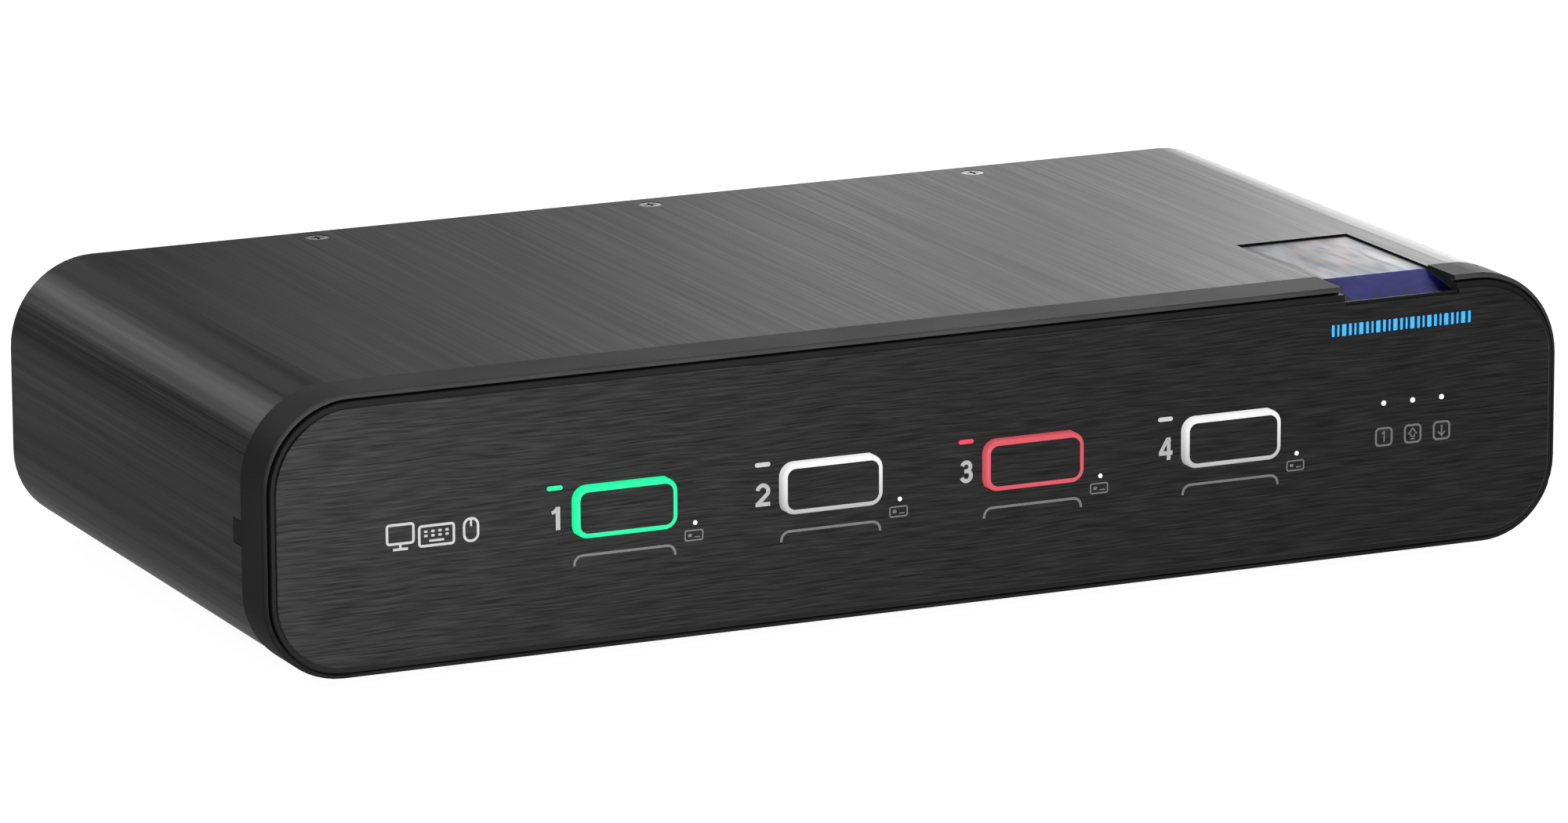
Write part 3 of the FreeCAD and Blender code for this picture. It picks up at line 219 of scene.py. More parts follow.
def facing_metal():
    """Black anodised facing, brushed sideways in short, slightly wavy streaks."""
    surface = Surface("facing_metal", Metallic=1.0)
    drift = surface.noise((30, 30, 60), detail=1)
    bent = surface.tree.nodes.new("ShaderNodeCombineXYZ")
    surface.feed(bent.inputs["X"], surface.axis("X"))
    surface.feed(bent.inputs["Y"], surface.axis("Y"))
    lift = surface.math("MULTIPLY", surface.math("SUBTRACT", drift, 0.5), 0.0025)
    surface.feed(bent.inputs["Z"], surface.math("ADD", surface.axis("Z"), lift))
    streaks = surface.noise((85, 85, 2200), detail=2, roughness=0.5, place=bent.outputs[0])
    fine = surface.noise((140, 140, 3400), detail=2, roughness=0.6, place=bent.outputs[0])
    both = surface.math("ADD", surface.math("MULTIPLY", streaks, 0.7), surface.math("MULTIPLY", fine, 0.3))
    surface.colour(surface.ramp(both, (0.33, grey(0.011)), (0.5, grey(0.020)), (0.66, grey(0.030))))
    surface.rough(surface.remap(fine, 0.3, 0.7, 0.40, 0.50))
    return surface.bump(fine, 0.00003, 0.5).material


def moulded_plastic(name, level, rough=0.5, tint=(1, 1, 1), shine=0.5):
    """Matt plastic with a fine spark-eroded grain and faint cloudiness."""
    surface = Surface(name, Specular_IOR_Level=shine)
    grain = surface.noise((2600, 2600, 2600), detail=2)
    cloud = surface.noise((40, 40, 40), detail=2)
    low = tuple(level * 0.82 * part for part in tint)
    high = tuple(level * 1.18 * part for part in tint)
    surface.colour(surface.ramp(cloud, (0.35, low), (0.65, high)))
    surface.rough(surface.remap(grain, 0.3, 0.7, rough - 0.05, rough + 0.07))
    return surface.bump(grain, 0.00003, 0.35).material


def bezel_plastic():
    """Matt dark plastic with painted shading: a painted highlight makes it greyest along its top front
    edge, and painted shade makes it darker on its sides and underneath.
    """
    surface = Surface("bezel_plastic", Specular_IOR_Level=0.012)
    grain = surface.noise((2600, 2600, 2600), detail=2)
    cloud = surface.noise((40, 40, 40), detail=2)
    # Painted shade: the sides darken as the surface turns to face left or right.
    side = surface.remap(surface.math("ABSOLUTE", surface.normal("X"), 0), 0.3, 1.0, 1.0, 0.42)
    # Painted light on front-facing surfaces: a painted highlight near the top, painted shade lower down.
    lift = surface.remap(surface.axis("Z"), BASE_Z + 45 * MM, BASE_Z + 62 * MM, -0.6, 0.3)
    front = surface.math("MULTIPLY", surface.remap(surface.normal("Y"), -1.0, 0.0, 1.0, 0.0), lift)
    # Painted shade on downward-facing surfaces.
    painted_under_shade = surface.remap(surface.normal("Z"), -1.0, 0.0, 0.4, 1.0)
    shade = surface.math("MULTIPLY", surface.math("MULTIPLY", side, surface.math("ADD", front, 1.0)), painted_under_shade)
    plain = surface.ramp(cloud, (0.35, grey(0.026)), (0.65, grey(0.034)))
    surface.colour(surface.mix(1.0, plain, shade, "MULTIPLY"))
    surface.rough(surface.remap(grain, 0.3, 0.7, 0.55, 0.67))
    return surface.bump(grain, 0.00003, 0.35).material


def lit_lens(name, tint, body, strength, painted_glow_slope=0.0):
    """Translucent plastic lit from inside, uneven along its length and, with a slope, given painted light:
    its glow is brighter above and on the side facing +X.
    """
    surface = Surface(name, Roughness=0.4, Specular_IOR_Level=0.15)
    patch = surface.noise((120, 120, 120), detail=2)
    grain = surface.noise((3000, 3000, 3000), detail=1)
    dimmer = tuple(0.93 * part for part in tint)
    surface.colour(surface.ramp(patch, (0.3, tuple(0.95 * part for part in body)), (0.65, body)))
    glow = surface.ramp(patch, (0.3, dimmer), (0.65, tint))
    # Painted light: the glow brightens higher up and on surfaces facing +X, and dims lower down and on
    # surfaces facing -X.
    if painted_glow_slope:
        foot, top = BUTTON_Z - BUTTON_HALF_HEIGHT, BUTTON_Z + BUTTON_HALF_HEIGHT
        painted_light_above = surface.remap(surface.axis("Z"), foot, top, 1.0 - painted_glow_slope, 1.0 + painted_glow_slope)
        painted_light_sideways = surface.remap(surface.normal("X"), -1.0, 1.0, 1.0 - painted_glow_slope / 3, 1.0 + painted_glow_slope / 3)
        glow = surface.mix(1.0, glow, surface.math("MULTIPLY", painted_light_above, painted_light_sideways), "MULTIPLY")
    surface.glow(glow, strength)
    return surface.bump(grain, 0.00002, 0.3).material


def label_foil():
    """Holographic foil: silvery and cloudy on the sleeve, blue down the ramp, with painted shade darkening
    its left edge.
    """
    surface = Surface("label_foil", Metallic=0.85, Specular_Tint=(0.30, 0.30, 0.30, 1))
    cloud = surface.noise((110, 70, 110), detail=3, distortion=0.6)
    streak = surface.noise((200, 30, 200), detail=2, distortion=1.5)
    pale = surface.ramp(
        cloud, (0.30, (0.048, 0.064, 0.085)), (0.43, (0.082, 0.084, 0.090)), (0.54, (0.108, 0.090, 0.090)),
        (0.68, (0.056, 0.064, 0.086)))
    near_seam = surface.remap(surface.axis("Y"), SEAM_Y, SEAM_Y + 7 * MM, 1, 0)
    pale = surface.mix(near_seam, pale, (0.062, 0.092, 0.112))
    deep = surface.ramp(
        cloud, (0.32, (0.004, 0.005, 0.020)), (0.46, (0.010, 0.009, 0.15)), (0.56, (0.026, 0.036, 0.16)),
        (0.68, (0.055, 0.062, 0.100)))
    # Painted shade: a strip along the left edge, where the pocket wall meets the label, is darkened.
    painted_edge_shade = surface.remap(surface.axis("X"), LABEL_LEFT + 1.7 * MM, LABEL_LEFT + 1.9 * MM, 0.12, 1.0)
    behind_seam = surface.remap(surface.axis("Y"), SEAM_Y - 0.2 * MM, SEAM_Y + 0.2 * MM, 0, 1)
    surface.colour(surface.mix(1.0, surface.mix(behind_seam, deep, pale), painted_edge_shade, "MULTIPLY"))
    surface.rough(surface.remap(streak, 0.3, 0.7, 0.28, 0.40))
    return surface.bump(cloud, 0.0002, 0.15).material


def plated_steel(name, level, rough=0.3, tint=(1, 1, 1)):
    """Plated or coated sheet steel with faint rolling marks."""
    surface = Surface(name, Metallic=1.0)
    marks = surface.noise((60, 900, 900), detail=2)
    cloud = surface.noise((90, 90, 90), detail=3)
    low = tuple(level * 0.85 * part for part in tint)
    high = tuple(level * 1.1 * part for part in tint)
    surface.colour(surface.ramp(cloud, (0.3, low), (0.7, high)))
    surface.rough(surface.remap(marks, 0.3, 0.7, rough - 0.06, rough + 0.08))
    return surface.bump(marks, 0.00002, 0.4).material


def powder_coat():
    """Fine black powder coat on the rear panel."""
    surface = Surface("powder_coat", Roughness=0.55)
    grain = surface.noise((1500, 1500, 1500), detail=3)
    surface.colour(surface.ramp(grain, (0.3, grey(0.014)), (0.7, grey(0.026))))
    return surface.bump(grain, 0.00008, 0.5).material


def print_ink(name, tint, strength=0.0):
    """Screen-printed ink with slightly uneven cover; given a strength, the ink also glows, which is painted
    light.
    """
    surface = Surface(name, Roughness=0.6)
    cover = surface.noise((1800, 1800, 1800), detail=2)
    low = tuple(0.86 * part for part in tint)
    shade = surface.ramp(cover, (0.3, low), (0.6, tint))
    surface.colour(shade)
    # A glow on ink is painted light: the ink is no lamp.
    if strength:
        surface.glow(shade, strength)
    return surface.bump(cover, 0.00001, 0.3).material


def board_mask():
    """Green solder mask with faint tracks."""
    surface = Surface("board_mask", Roughness=0.35)
    tracks = surface.noise((700, 60, 60), detail=0)
    surface.colour(surface.ramp(tracks, (0.47, (0.010, 0.085, 0.035)), (0.5, (0.02, 0.16, 0.06))))
    return surface.bump(tracks, 0.00003, 0.4).material


def foot_rubber():
    surface = Surface("foot_rubber", Roughness=0.8)
    grain = surface.noise((1200, 1200, 1200), detail=3)
    surface.colour(surface.ramp(grain, (0.3, grey(0.010)), (0.7, grey(0.022))))
    return surface.bump(grain, 0.0001, 0.5).material


# Each lit lens: glow colour, body colour, glow strength and, for some, how much painted light brightens its
# glow above and on one side
GREEN = ((0.010, 1.0, 0.37), (0.005, 0.10, 0.04), 1.0)
WHITE = ((0.94, 0.94, 0.95), (0.10, 0.10, 0.10), 0.62, 0.42)
RED = ((0.60, 0.075, 0.105), (0.12, 0.02, 0.025), 0.92)
DASH_RED = ((0.72, 0.045, 0.085), (0.12, 0.02, 0.025), 1.0)
LAMP = ((0.95, 0.95, 0.97), (0.5, 0.5, 0.5), 0.8)
DASH_WHITE = ((0.95, 0.95, 0.97), (0.12, 0.12, 0.12), 0.45)
CAP_LIGHTS = {1: GREEN, 2: WHITE, 3: RED, 4: WHITE}
DASH_LIGHTS = {1: GREEN, 2: DASH_WHITE, 3: DASH_RED, 4: DASH_WHITE}


def dress(material, *names):
    """Give whole CAD nodes one material."""
    for name in names:
        slots = nodes[name].data.materials
        slots.clear()
        slots.append(material)


def numbered(stem):
    return ["%s_%d" % (stem, number) for number in BUTTONS]


def dress_nodes():
    facing = facing_metal()
    dress(sleeve_metal(), "sleeve")
    dress(bezel_plastic(), "front_bezel")
    dress(moulded_plastic("panel_plastic", 0.006, 0.6, shine=0.1), "front_panel")
    dress(facing, "front_overlay", *numbered("button_face"))
    dress(label_foil(), "tamper_label")
    dress(powder_coat(), "rear_panel")
    dress(plated_steel("black_zinc", 0.030, 0.35), "top_screws", "bottom_screws")
    dress(plated_steel("zinc_plate", 0.55, 0.35), "chassis_tray", "panel_screws", "board_screws")
    dress(plated_steel("brass_hex", 0.60, 0.3, (1, 0.78, 0.42)), "standoffs", "spacers")
    dress(plated_steel("nickel_shell", 0.58, 0.28, (1, 0.98, 0.93)),
          "video_shells", "usb_b_shells", "usb_a_shells")
    dress(plated_steel("sink_metal", 0.50, 0.4), "heat_sink", "capacitors", "backup_battery")
    dress(moulded_plastic("insert_plastic", 0.012, 0.4), "video_inserts", "usb_b_inserts", "usb_a_inserts",
          "remote_jack", "dc_jack", "switch_housings", "board_connectors", "ribbon_headers", "chips")
    dress(moulded_plastic("jack_plastic", 0.30, 0.45, (0.42, 1.0, 0.28)), "audio_jacks")
    dress(moulded_plastic("stem_plastic", 0.55, 0.4), *numbered("button_plunger"), *numbered("switch_stem"))
    dress(moulded_plastic("ribbon_plastic", 0.42, 0.5), "ribbon_cable")
    dress(board_mask(), "main_board", "video_board", "front_board")
    dress(foot_rubber(), *numbered("foot"))
    dress(lit_lens("lamp_lens", *LAMP), "round_light_pipes", "status_leds")
    for number in BUTTONS:
        dress(lit_lens("cap_lens_%d" % number, *CAP_LIGHTS[number]), "button_cap_%d" % number)
        dress(lit_lens("dash_lens_%d" % number, *DASH_LIGHTS[number]), "port_light_%d" % number)


# ---------------------------------------------------------------- printed marks

PRINT_LIFT = 0.00003          # ink stands this far off the surface it is printed on
PRINT_BODY = 0.00002
PRINT_LAYER = 0.000002        # each new stroke lies this much over the one before


class Print:
    """Flat marks on a plane square to Y, drawn in millimetres across and up from an origin."""

    def __init__(self, name, origin, y, facing, material, unit=MM):
        self.name = name
        self.origin = origin
        self.y = y
        self.facing = facing          # -1 for the front, +1 for the rear
        self.material = material
        self.unit = unit
        self.lift = PRINT_LIFT
        self.points = []
        self.faces = []

    def at(self, across, up, depth):
        """A point of the print; across runs to the reader's right."""
        x = self.origin[0] - self.facing * across * self.unit
        return (x, self.y + self.facing * depth, self.origin[1] + up * self.unit)

    def prism(self, outline):
        """A thin slab of ink from one convex outline."""
        start = len(self.points)
        count = len(outline)
        for depth in (self.lift, self.lift - PRINT_BODY):
            self.points += [self.at(across, up, depth) for across, up in outline]
        self.faces.append(tuple(range(start, start + count)))
        self.faces.append(tuple(range(start + 2 * count - 1, start + count - 1, -1)))
        for index in range(count):
            after = (index + 1) % count
            self.faces.append((start + index, start + count + index, start + count + after, start + after))

    def stroke(self, path, width, closed=False):
        """A line of even width along a path of (across, up) points."""
        self.lift += PRINT_LAYER
        count = len(path)
        sides = []
        for index, point in enumerate(path):
            before = path[index - 1] if closed or index else point
            after = path[(index + 1) % count] if closed or index < count - 1 else point
            first = Vector(point) - Vector(before)
            second = Vector(after) - Vector(point)
            first = first.normalized() if first.length else second.normalized()
            second = second.normalized() if second.length else first
            normal = Vector((-first.y - second.y, first.x + second.x)).normalized()
            reach = width / 2 / max(0.4, normal.dot(Vector((-first.y, first.x))))
            sides.append((Vector(point) + normal * reach, Vector(point) - normal * reach))
        spans = count if closed else count - 1
        for index in range(spans):
            left, right = sides[index]
            next_left, next_right = sides[(index + 1) % count]
            self.prism([left, right, next_right, next_left])

    def finish(self):
        mesh = bpy.data.meshes.new(self.name)
        mesh.from_pydata(self.points, [], self.faces)
        mesh.materials.append(self.material)
        mesh.validate()
        piece = bpy.data.objects.new(self.name, mesh)
        bpy.context.scene.collection.objects.link(piece)
        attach(piece, "housing")
        return piece


def arc(cx, cy, radius, start, end, steps=6):
    points = []
    for index in range(steps + 1):
        turn = math.radians(start + (end - start) * index / steps)
        points.append((cx + radius * math.cos(turn), cy + radius * math.sin(turn)))
    return points


def rounded_box(cx, cy, width, height, radius, steps=5):
    """Closed outline of a rounded rectangle, anticlockwise."""
    right, left = cx + width / 2 - radius, cx - width / 2 + radius
    top, bottom = cy + height / 2 - radius, cy - height / 2 + radius
    return (
        arc(right, top, radius, 0, 90, steps) + arc(left, top, radius, 90, 180, steps)
        + arc(left, bottom, radius, 180, 270, steps) + arc(right, bottom, radius, 270, 360, steps))


def printed_text(name, text, x, z, height, y, facing, material, weight=0.0):
    """A numeral, centred on a place and of a given height, as a thin mesh."""
    data = bpy.data.curves.new(name, "FONT")
    data.body = text
    data.align_x = "CENTER"
    data.offset = weight
    data.resolution_u = 4
    source = bpy.data.objects.new(name + "_source", data)
    bpy.context.scene.collection.objects.link(source)
    bpy.context.view_layer.update()
    mesh = bpy.data.meshes.new_from_object(source.evaluated_get(bpy.context.evaluated_depsgraph_get()))
    bpy.data.objects.remove(source)
    bpy.data.curves.remove(data)
    xs = [vertex.co.x for vertex in mesh.vertices]
    ys = [vertex.co.y for vertex in mesh.vertices]
    scale = height / (max(ys) - min(ys))
    middle = (max(xs) + min(xs)) / 2
    centre = (max(ys) + min(ys)) / 2
    for vertex in mesh.vertices:
        across = (vertex.co.x - middle) * scale
        up = (vertex.co.y - centre) * scale
        vertex.co = Vector((x - facing * across, y + facing * PRINT_LIFT, z + up))
    mesh.name = name
    mesh.materials.clear()
    mesh.materials.append(material)
    piece = bpy.data.objects.new(name, mesh)
    bpy.context.scene.collection.objects.link(piece)
    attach(piece, "housing")
    return piece


def draw_numeral(sheet, number, weight):
    """A bold numeral six units high, drawn with strokes round the sheet's origin."""
    if number == 1:
        sheet.stroke([(0.65, 3.0), (0.65, -3.0)], weight * 1.12)
        sheet.stroke([(-1.05, 1.55), (-0.35, 1.75), (0.35, 2.45)], weight * 0.85)
    if number == 2:
        top = arc(-0.1, 1.0, 1.5, 172, -38, 12)
        sheet.stroke(top + [(-1.6, -2.35)], weight)
        sheet.stroke([(-2.15, -2.45), (1.9, -2.45)], weight)
    if number == 3:
        sheet.stroke(arc(-0.1, 1.28, 1.18, 165, -90, 12), weight)
        sheet.stroke(arc(-0.1, -1.12, 1.34, 90, -165, 12), weight)
        sheet.stroke([(-0.65, 0.14), (0.1, 0.14)], weight)
    if number == 4:
        sheet.stroke([(0.55, 2.6), (-1.5, -0.85)], weight * 0.95)
        sheet.stroke([(-2.0, -1.15), (1.95, -1.15)], weight)
        sheet.stroke([(0.85, 3.0), (0.85, -3.0)], weight)


# Marks on the front, in millimetres: right of a button's middle or of the casing's, and above its underside
NUMERAL_AT = (-17.0, 31.95)
NUMERAL_UNIT = 0.9 * MM
NUMERAL_WEIGHT = 1.08
BRACKET_HALF_WIDTH = 12.5
BRACKET_TOP = 22.65
BRACKET_LOW = 20.35
BRACKET_RADIUS = 2.0
BRACKET_STROKE = 0.6
CARD_AT = (17.2, 24.4)
LOCK_SIGN_INSET = 1.1         # from the last lock light's right side to its sign's middle
LOCK_SIGN_PITCH = 7.75
LOCK_SIGN_UP = 28.85
DEVICE_SIGNS_AT = (-125, 31.8)
DEVICE_STROKE = 0.6
BARS_AT = (121.9, 55.75)
BARS_START = -18.2
BAR_WIDTHS = (0.7, 0.5, 1.1) * 8 + (0.7,)
BAR_HEIGHT = 2.8
BAR_GAP = 0.75


def front_height(above_underside):
    """Row height of a place given in millimetres above the casing's underside."""
    return BASE_Z + above_underside * MM


def print_channel_marks(ink, pale_ink):
    """Beside and below each button: its numeral, a bracket and a small card sign."""
    for number in BUTTONS:
        x, z = button_centre(number)
        place = (x + NUMERAL_AT[0] * MM, front_height(NUMERAL_AT[1]))
        numeral = Print("numeral_%d" % number, place, FACE_Y, -1, pale_ink, NUMERAL_UNIT)
        draw_numeral(numeral, number, NUMERAL_WEIGHT)
        numeral.finish()
        bracket = Print("bracket_%d" % number, (x, front_height(0)), FACE_Y, -1, ink)
        bend, shoulder = BRACKET_HALF_WIDTH - BRACKET_RADIUS, BRACKET_TOP - BRACKET_RADIUS
        path = [(-BRACKET_HALF_WIDTH, BRACKET_LOW)] + arc(-bend, shoulder, BRACKET_RADIUS, 180, 90)
        path += arc(bend, shoulder, BRACKET_RADIUS, 90, 0) + [(BRACKET_HALF_WIDTH, BRACKET_LOW)]
        bracket.stroke(path, BRACKET_STROKE)
        bracket.finish()
        place = (x + CARD_AT[0] * MM, front_height(CARD_AT[1]))
        card = Print("card_sign_%d" % number, place, FACE_Y, -1, ink)
        card.stroke(rounded_box(0, 0, 4.4, 2.3, 0.4, 3), 0.32, closed=True)
        card.prism(rounded_box(-1.0, 0.05, 0.9, 0.7, 0.1, 2))
        card.stroke([(0.2, -0.4), (1.5, -0.4)], 0.26)
        card.finish()


def print_lock_signs(ink):
    """Three small framed signs for the number, capital and scroll locks."""
    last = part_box("round_light_pipes")[1].x - LOCK_SIGN_INSET * MM
    for index, name in enumerate(("number", "capital", "scroll")):
        x = last - (2 - index) * LOCK_SIGN_PITCH * MM
        sign = Print("lock_sign_" + name, (x, front_height(LOCK_SIGN_UP)), FACE_Y, -1, ink)
        sign.stroke(rounded_box(0, 0, 4.2, 4.15, 0.9, 4), 0.5, closed=True)
        if name == "number":
            sign.stroke([(-0.5, 0.75), (0.1, 1.2), (0.1, -1.25)], 0.36)
        if name == "capital":
            sign.stroke([(-1.15, -0.1), (0, 1.3), (1.15, -0.1)], 0.34)
            sign.stroke([(-0.45, 0.0), (-0.45, -0.7), (0.45, -0.7), (0.45, 0.0)], 0.3)
            sign.stroke([(-0.6, -1.3), (0.6, -1.3)], 0.3)
        if name == "scroll":
            sign.stroke([(0, 1.3), (0, -1.1)], 0.36)
            sign.stroke([(-0.95, -0.25), (0, -1.25), (0.95, -0.25)], 0.34)
        sign.finish()


def print_device_signs(ink):
    """Outline signs of a screen, a keyboard and a mouse."""
    place = (DEVICE_SIGNS_AT[0] * MM, front_height(DEVICE_SIGNS_AT[1]))
    signs = Print("device_signs", place, FACE_Y, -1, ink)
    signs.stroke(rounded_box(-7.6, 0.7, 6.4, 4.4, 0.6, 4), DEVICE_STROKE, closed=True)
    signs.stroke([(-9.4, -2.8), (-5.8, -2.8)], DEVICE_STROKE)
    signs.stroke([(-7.6, -1.6), (-7.6, -2.8)], DEVICE_STROKE)
    signs.stroke(rounded_box(1.2, -0.4, 8.4, 4.6, 0.6, 4), DEVICE_STROKE, closed=True)
    for up in (0.6, -0.4):
        for column in range(4):
            signs.prism(rounded_box(-1.4 + column * 1.72, up, 0.8, 0.55, 0.1, 2))
    signs.stroke([(-0.6, -1.6), (3.0, -1.6)], 0.5)
    signs.stroke(rounded_box(9.6, -0.1, 3.4, 5.2, 1.6, 5), DEVICE_STROKE, closed=True)
    signs.stroke([(9.6, 2.2), (9.6, 0.7)], 0.5)
    signs.finish()


def print_bars(ink):
    """A row of plain upright bars of three widths."""
    bars = Print("blue_bars", (BARS_AT[0] * MM, front_height(BARS_AT[1])), FACE_Y, -1, ink)
    edge = BARS_START
    for width in BAR_WIDTHS:
        bars.prism(rounded_box(edge + width / 2, 0, width, BAR_HEIGHT, 0.15, 2))
        edge += width + BAR_GAP
    bars.finish()


def print_front_marks():
    ink = print_ink("grey_ink", (0.09, 0.09, 0.092))
    pale_ink = print_ink("pale_ink", (0.25, 0.25, 0.255))
    # The blue ink glows a little: painted light on print.
    blue_ink_painted_glow = print_ink("blue_ink_painted_glow", (0.012, 0.27, 0.72), 0.3)
    print_channel_marks(ink, pale_ink)
    print_lock_signs(print_ink("sign_ink", (0.085, 0.085, 0.088)))
    print_device_signs(print_ink("logo_ink", (0.31, 0.31, 0.315)))
    print_bars(blue_ink_painted_glow)


# ---------------------------------------------------------------- rear

CHANNEL_PITCH = 42 * MM       # from one computer's sockets to the next one's
USB_A_HALF_WIDTH = 7.2 * MM
USB_B_HALF_WIDTH = 6 * MM
USB_B_SHIFT = 7 * MM          # from a video input's middle to its USB-B socket's
VIDEO_HALF_WIDTH = 7.5 * MM
FRAME_MIDDLE_UP = 27.5        # the frames' middle above the casing's underside, in millimetres
FRAME_HEIGHT = 38
CHANNEL_FRAME_WIDTH = 37
DESK_FRAME_WIDTH = 97
DESK_FRAME_X = 89.5 * MM
FRAME_RADIUS = 3
FRAME_STROKE = 0.35
REAR_NUMERAL_SHIFT = 13 * MM
REAR_NUMERAL_UP = 39.5
REAR_NUMERAL_HEIGHT = 4.2 * MM


def draw_frame(sheet, width):
    outline = rounded_box(0, FRAME_MIDDLE_UP, width, FRAME_HEIGHT, FRAME_RADIUS, 5)
    sheet.stroke(outline, FRAME_STROKE, closed=True)


def print_rear_marks():
    """A numeral and a thin frame for each computer's sockets, a frame and a screen sign for the desk's."""
    ink = print_ink("rear_ink", (0.55, 0.55, 0.56))
    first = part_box("usb_b_shells")[0].x + USB_B_HALF_WIDTH + USB_B_SHIFT
    for number in BUTTONS:
        x = first + (number - 1) * CHANNEL_PITCH
        printed_text("rear_numeral_%d" % number, str(number), x + REAR_NUMERAL_SHIFT,
                     front_height(REAR_NUMERAL_UP), REAR_NUMERAL_HEIGHT, REAR_Y, 1, ink, 0.014)
        group = Print("rear_frame_%d" % number, (x, front_height(0)), REAR_Y, 1, ink)
        draw_frame(group, CHANNEL_FRAME_WIDTH)
        group.finish()
    desk = Print("rear_frame_desk", (DESK_FRAME_X, front_height(0)), REAR_Y, 1, ink)
    draw_frame(desk, DESK_FRAME_WIDTH)
    desk.stroke(rounded_box(-14, 40, 5.4, 3.8, 0.5, 3), 0.45, closed=True)
    desk.stroke([(-15.6, 36.9), (-12.4, 36.9)], 0.45)
    desk.stroke([(-14, 38.1), (-14, 36.9)], 0.45)
    desk.finish()


# Each kind of contact, in millimetres: width, thickness, inset behind the sockets' rear faces, length
USB_A_STRIP = (1.0, 0.1, 1.5, 8)
USB_B_STRIP = (1.0, 0.1, 2, 7)
VIDEO_STRIP = (0.45, 0.06, 1.3, 5)
REMOTE_WIRE = (0.45, 0.35, 2.5, 7)

# Heights of the contacts' undersides above the main board, or above the video board, in millimetres
USB_A_UPS = {"card": 4.08, "lower": 4.08, "upper": 11.88}
USB_B_UPS = (3.73, 7.07)
VIDEO_UPS = (2.76, 4.06)
REMOTE_UP = 10.1
REMOTE_WIRE_PITCH = 1.02


def small_boxes(name, boxes, material):
    """One mesh of plain boxes, each given by two opposite corners."""
    sides = ((0, 1, 3, 2), (4, 6, 7, 5), (0, 4, 5, 1), (2, 3, 7, 6), (0, 2, 6, 4), (1, 5, 7, 3))
    points = []
    faces = []
    for corners in boxes:
        start = len(points)
        xs, ys, zs = zip(*corners)
        points += [(x, y, z) for x in xs for y in ys for z in zs]
        for side in sides:
            faces.append(tuple(start + corner for corner in side))
    mesh = bpy.data.meshes.new(name)
    mesh.from_pydata(points, [], faces)
    mesh.materials.append(material)
    piece = bpy.data.objects.new(name, mesh)
    bpy.context.scene.collection.objects.link(piece)
    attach(piece, "housing")


def contact_box(x, z, size, rear):
    """Corners of a strip along Y, standing on z and centred on x, in front of the sockets' rear faces."""
    width, thickness, inset, length = size
    end = rear - inset * MM
    return (x - width / 2 * MM, end - length * MM, z), (x + width / 2 * MM, end, z + thickness * MM)


def make_contacts():
    """Gold-plated strips on the sockets' tongues, and the wires in the remote's socket."""
    gold = plated_steel("gold_plate", 0.62, 0.3, (1, 0.74, 0.32))
    shell_low, shell_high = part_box("usb_a_shells")
    board, rear = shell_low.z, shell_high.y
    card_x, stack_x = shell_low.x + USB_A_HALF_WIDTH, shell_high.x - USB_A_HALF_WIDTH
    video_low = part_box("video_shells")[0]
    channel_xs = [video_low.x + VIDEO_HALF_WIDTH + index * CHANNEL_PITCH for index in range(4)]
    remote_low, remote_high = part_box("remote_jack")
    remote_x = (remote_low.x + remote_high.x) / 2
    ports = ((card_x, USB_A_UPS["card"]), (stack_x, USB_A_UPS["lower"]), (stack_x, USB_A_UPS["upper"]))
    small_boxes("usb_a_contacts", [
        contact_box(x + across * MM, board + up * MM, USB_A_STRIP, rear)
        for x, up in ports for across in (-3.5, -1.0, 1.0, 3.5)], gold)
    small_boxes("usb_b_contacts", [
        contact_box(x - USB_B_SHIFT + across * MM, board + up * MM, USB_B_STRIP, rear)
        for x in channel_xs for across in (-1.25, 1.25) for up in USB_B_UPS], gold)
    small_boxes("video_contacts", [
        contact_box(x + (index - 4.5) * MM, video_low.z + up * MM, VIDEO_STRIP, rear)
        for x in channel_xs + [stack_x] for index in range(10) for up in VIDEO_UPS], gold)
    wire_xs = [remote_x + (index - 2.5) * REMOTE_WIRE_PITCH * MM for index in range(6)]
    small_boxes("remote_contacts", [
        contact_box(x, board + REMOTE_UP * MM, REMOTE_WIRE, rear) for x in wire_xs], gold)


# ---------------------------------------------------------------- room

RING_CENTRE = Vector((0, 0.08, 0.066))
AIM = (0, 0.05, 0.05)
BACK_STRIPS = ((22, 0.6), (32, 1.5), (44, 5.2), (58, 4.4))            # degrees round, watts
EDGE_BOXES = ((-38, 24, 11.5), (-18, 24, 10.0), (5, 27, 3.2))         # degrees round and up, watts


def area_light(name, place, target, size, power):
    data = bpy.data.lights.new(name, "AREA")
    data.shape = "RECTANGLE"
    data.size, data.size_y = size
    data.energy = power
    light = bpy.data.objects.new(name, data)
    bpy.context.scene.collection.objects.link(light)
    light.location = place
    light.visible_camera = False
    light.rotation_euler = (Vector(target) - Vector(place)).to_track_quat("-Z", "Y").to_euler()


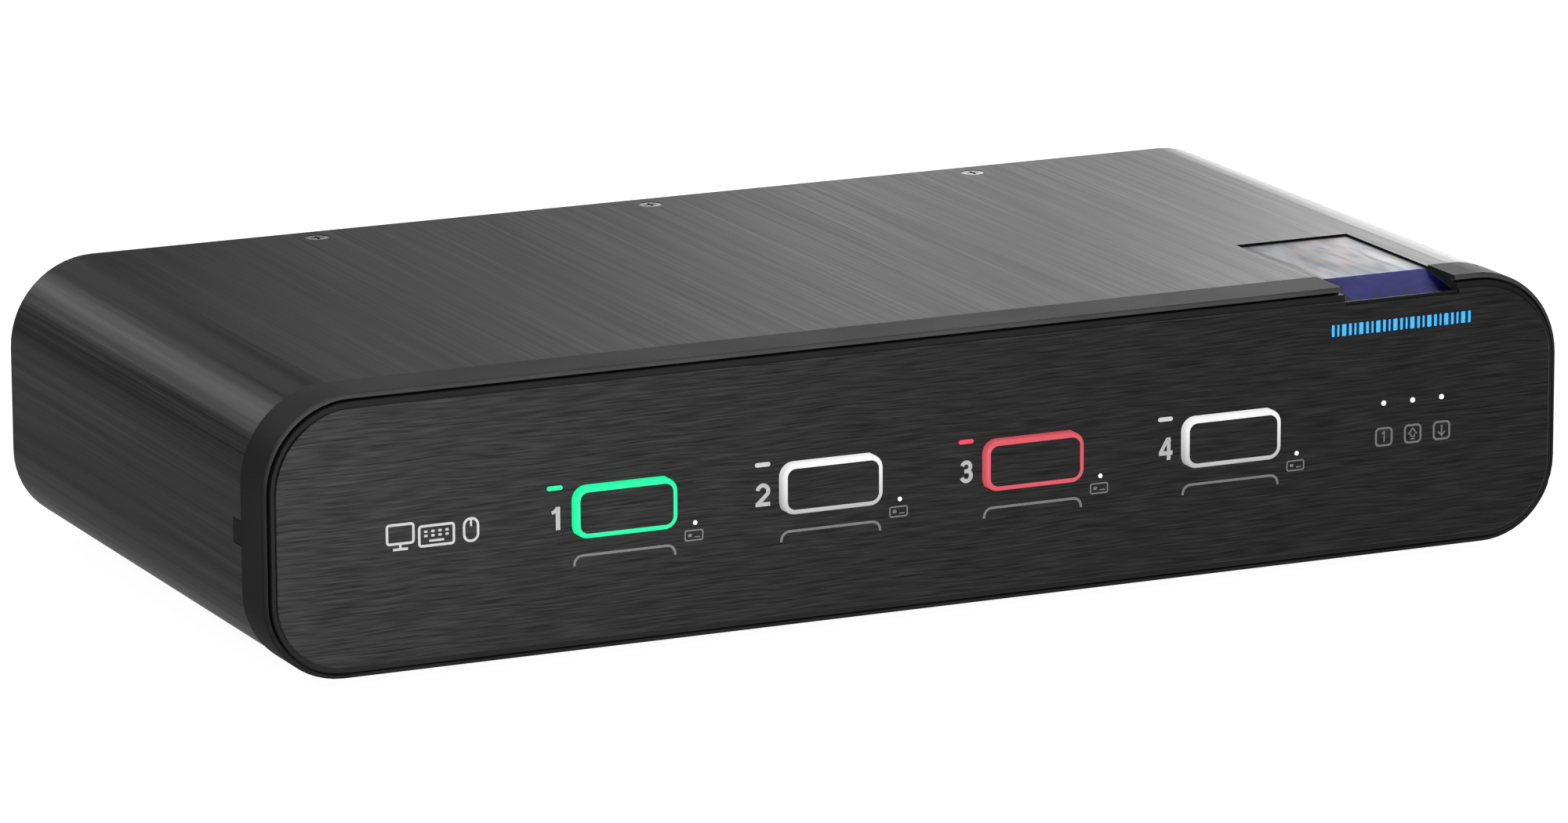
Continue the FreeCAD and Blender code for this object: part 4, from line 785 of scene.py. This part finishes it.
def ring_light(name, azimuth, elevation, distance, size, power):
    """A softbox behind the object: degrees round from straight behind to the right, and up."""
    turn, rise = math.radians(azimuth), math.radians(elevation)
    level = math.cos(rise)
    reach = Vector((level * math.sin(turn), level * math.cos(turn), math.sin(rise))) * distance
    area_light(name, RING_CENTRE + reach, AIM, size, power)


def make_floor():
    half = 12.0
    mesh = bpy.data.meshes.new("floor")
    corners = [(-half, -half, 0), (half, -half, 0), (half, half, 0), (-half, half, 0)]
    mesh.from_pydata(corners, [], [(0, 1, 2, 3)])
    floor = bpy.data.objects.new("floor", mesh)
    bpy.context.scene.collection.objects.link(floor)
    surface = Surface("floor_paper", Roughness=0.9, Specular_IOR_Level=0.0)
    cloud = surface.noise((3, 3, 3), detail=2)
    shade = surface.ramp(cloud, (0.3, (0.19, 0.19, 0.19)), (0.7, (0.21, 0.21, 0.21)))
    surface.colour(shade)
    surface.glow((1, 1, 1, 1), 0.95)
    mesh.materials.append(surface.material)


def make_room():
    world = bpy.data.worlds.new("studio")
    bpy.context.scene.world = world
    world.use_nodes = True
    background = world.node_tree.nodes["Background"]
    background.inputs["Color"].default_value = (1, 1, 1, 1)
    background.inputs["Strength"].default_value = 0.02
    for index, (azimuth, power) in enumerate(BACK_STRIPS, 1):
        ring_light("back_strip_%d" % index, azimuth, 13, 1.1, (0.26, 0.5), power)
    for index, (azimuth, elevation, power) in enumerate(EDGE_BOXES, 1):
        ring_light("edge_box_%d" % index, azimuth, elevation, 2.2, (0.5, 0.5), power)
    area_light("front_top_softbox", (0.3, -0.9, 1.7), (0, 0, 0), (1.8, 1.4), 26)
    area_light("top_softbox", (0.1, 0.2, 1.9), (0, 0, 0), (1.8, 1.4), 15.5)
    area_light("front_softbox", (-0.18, -0.65, 0.06), (-0.12, -0.08, 0.03), (0.4, 0.12), 4.4)
    bpy.context.scene.view_settings.view_transform = "Standard"
    bpy.context.scene.view_settings.look = "None"


make_camera()
make_room()
make_floor()
dress_nodes()
print_front_marks()
print_rear_marks()
make_contacts()
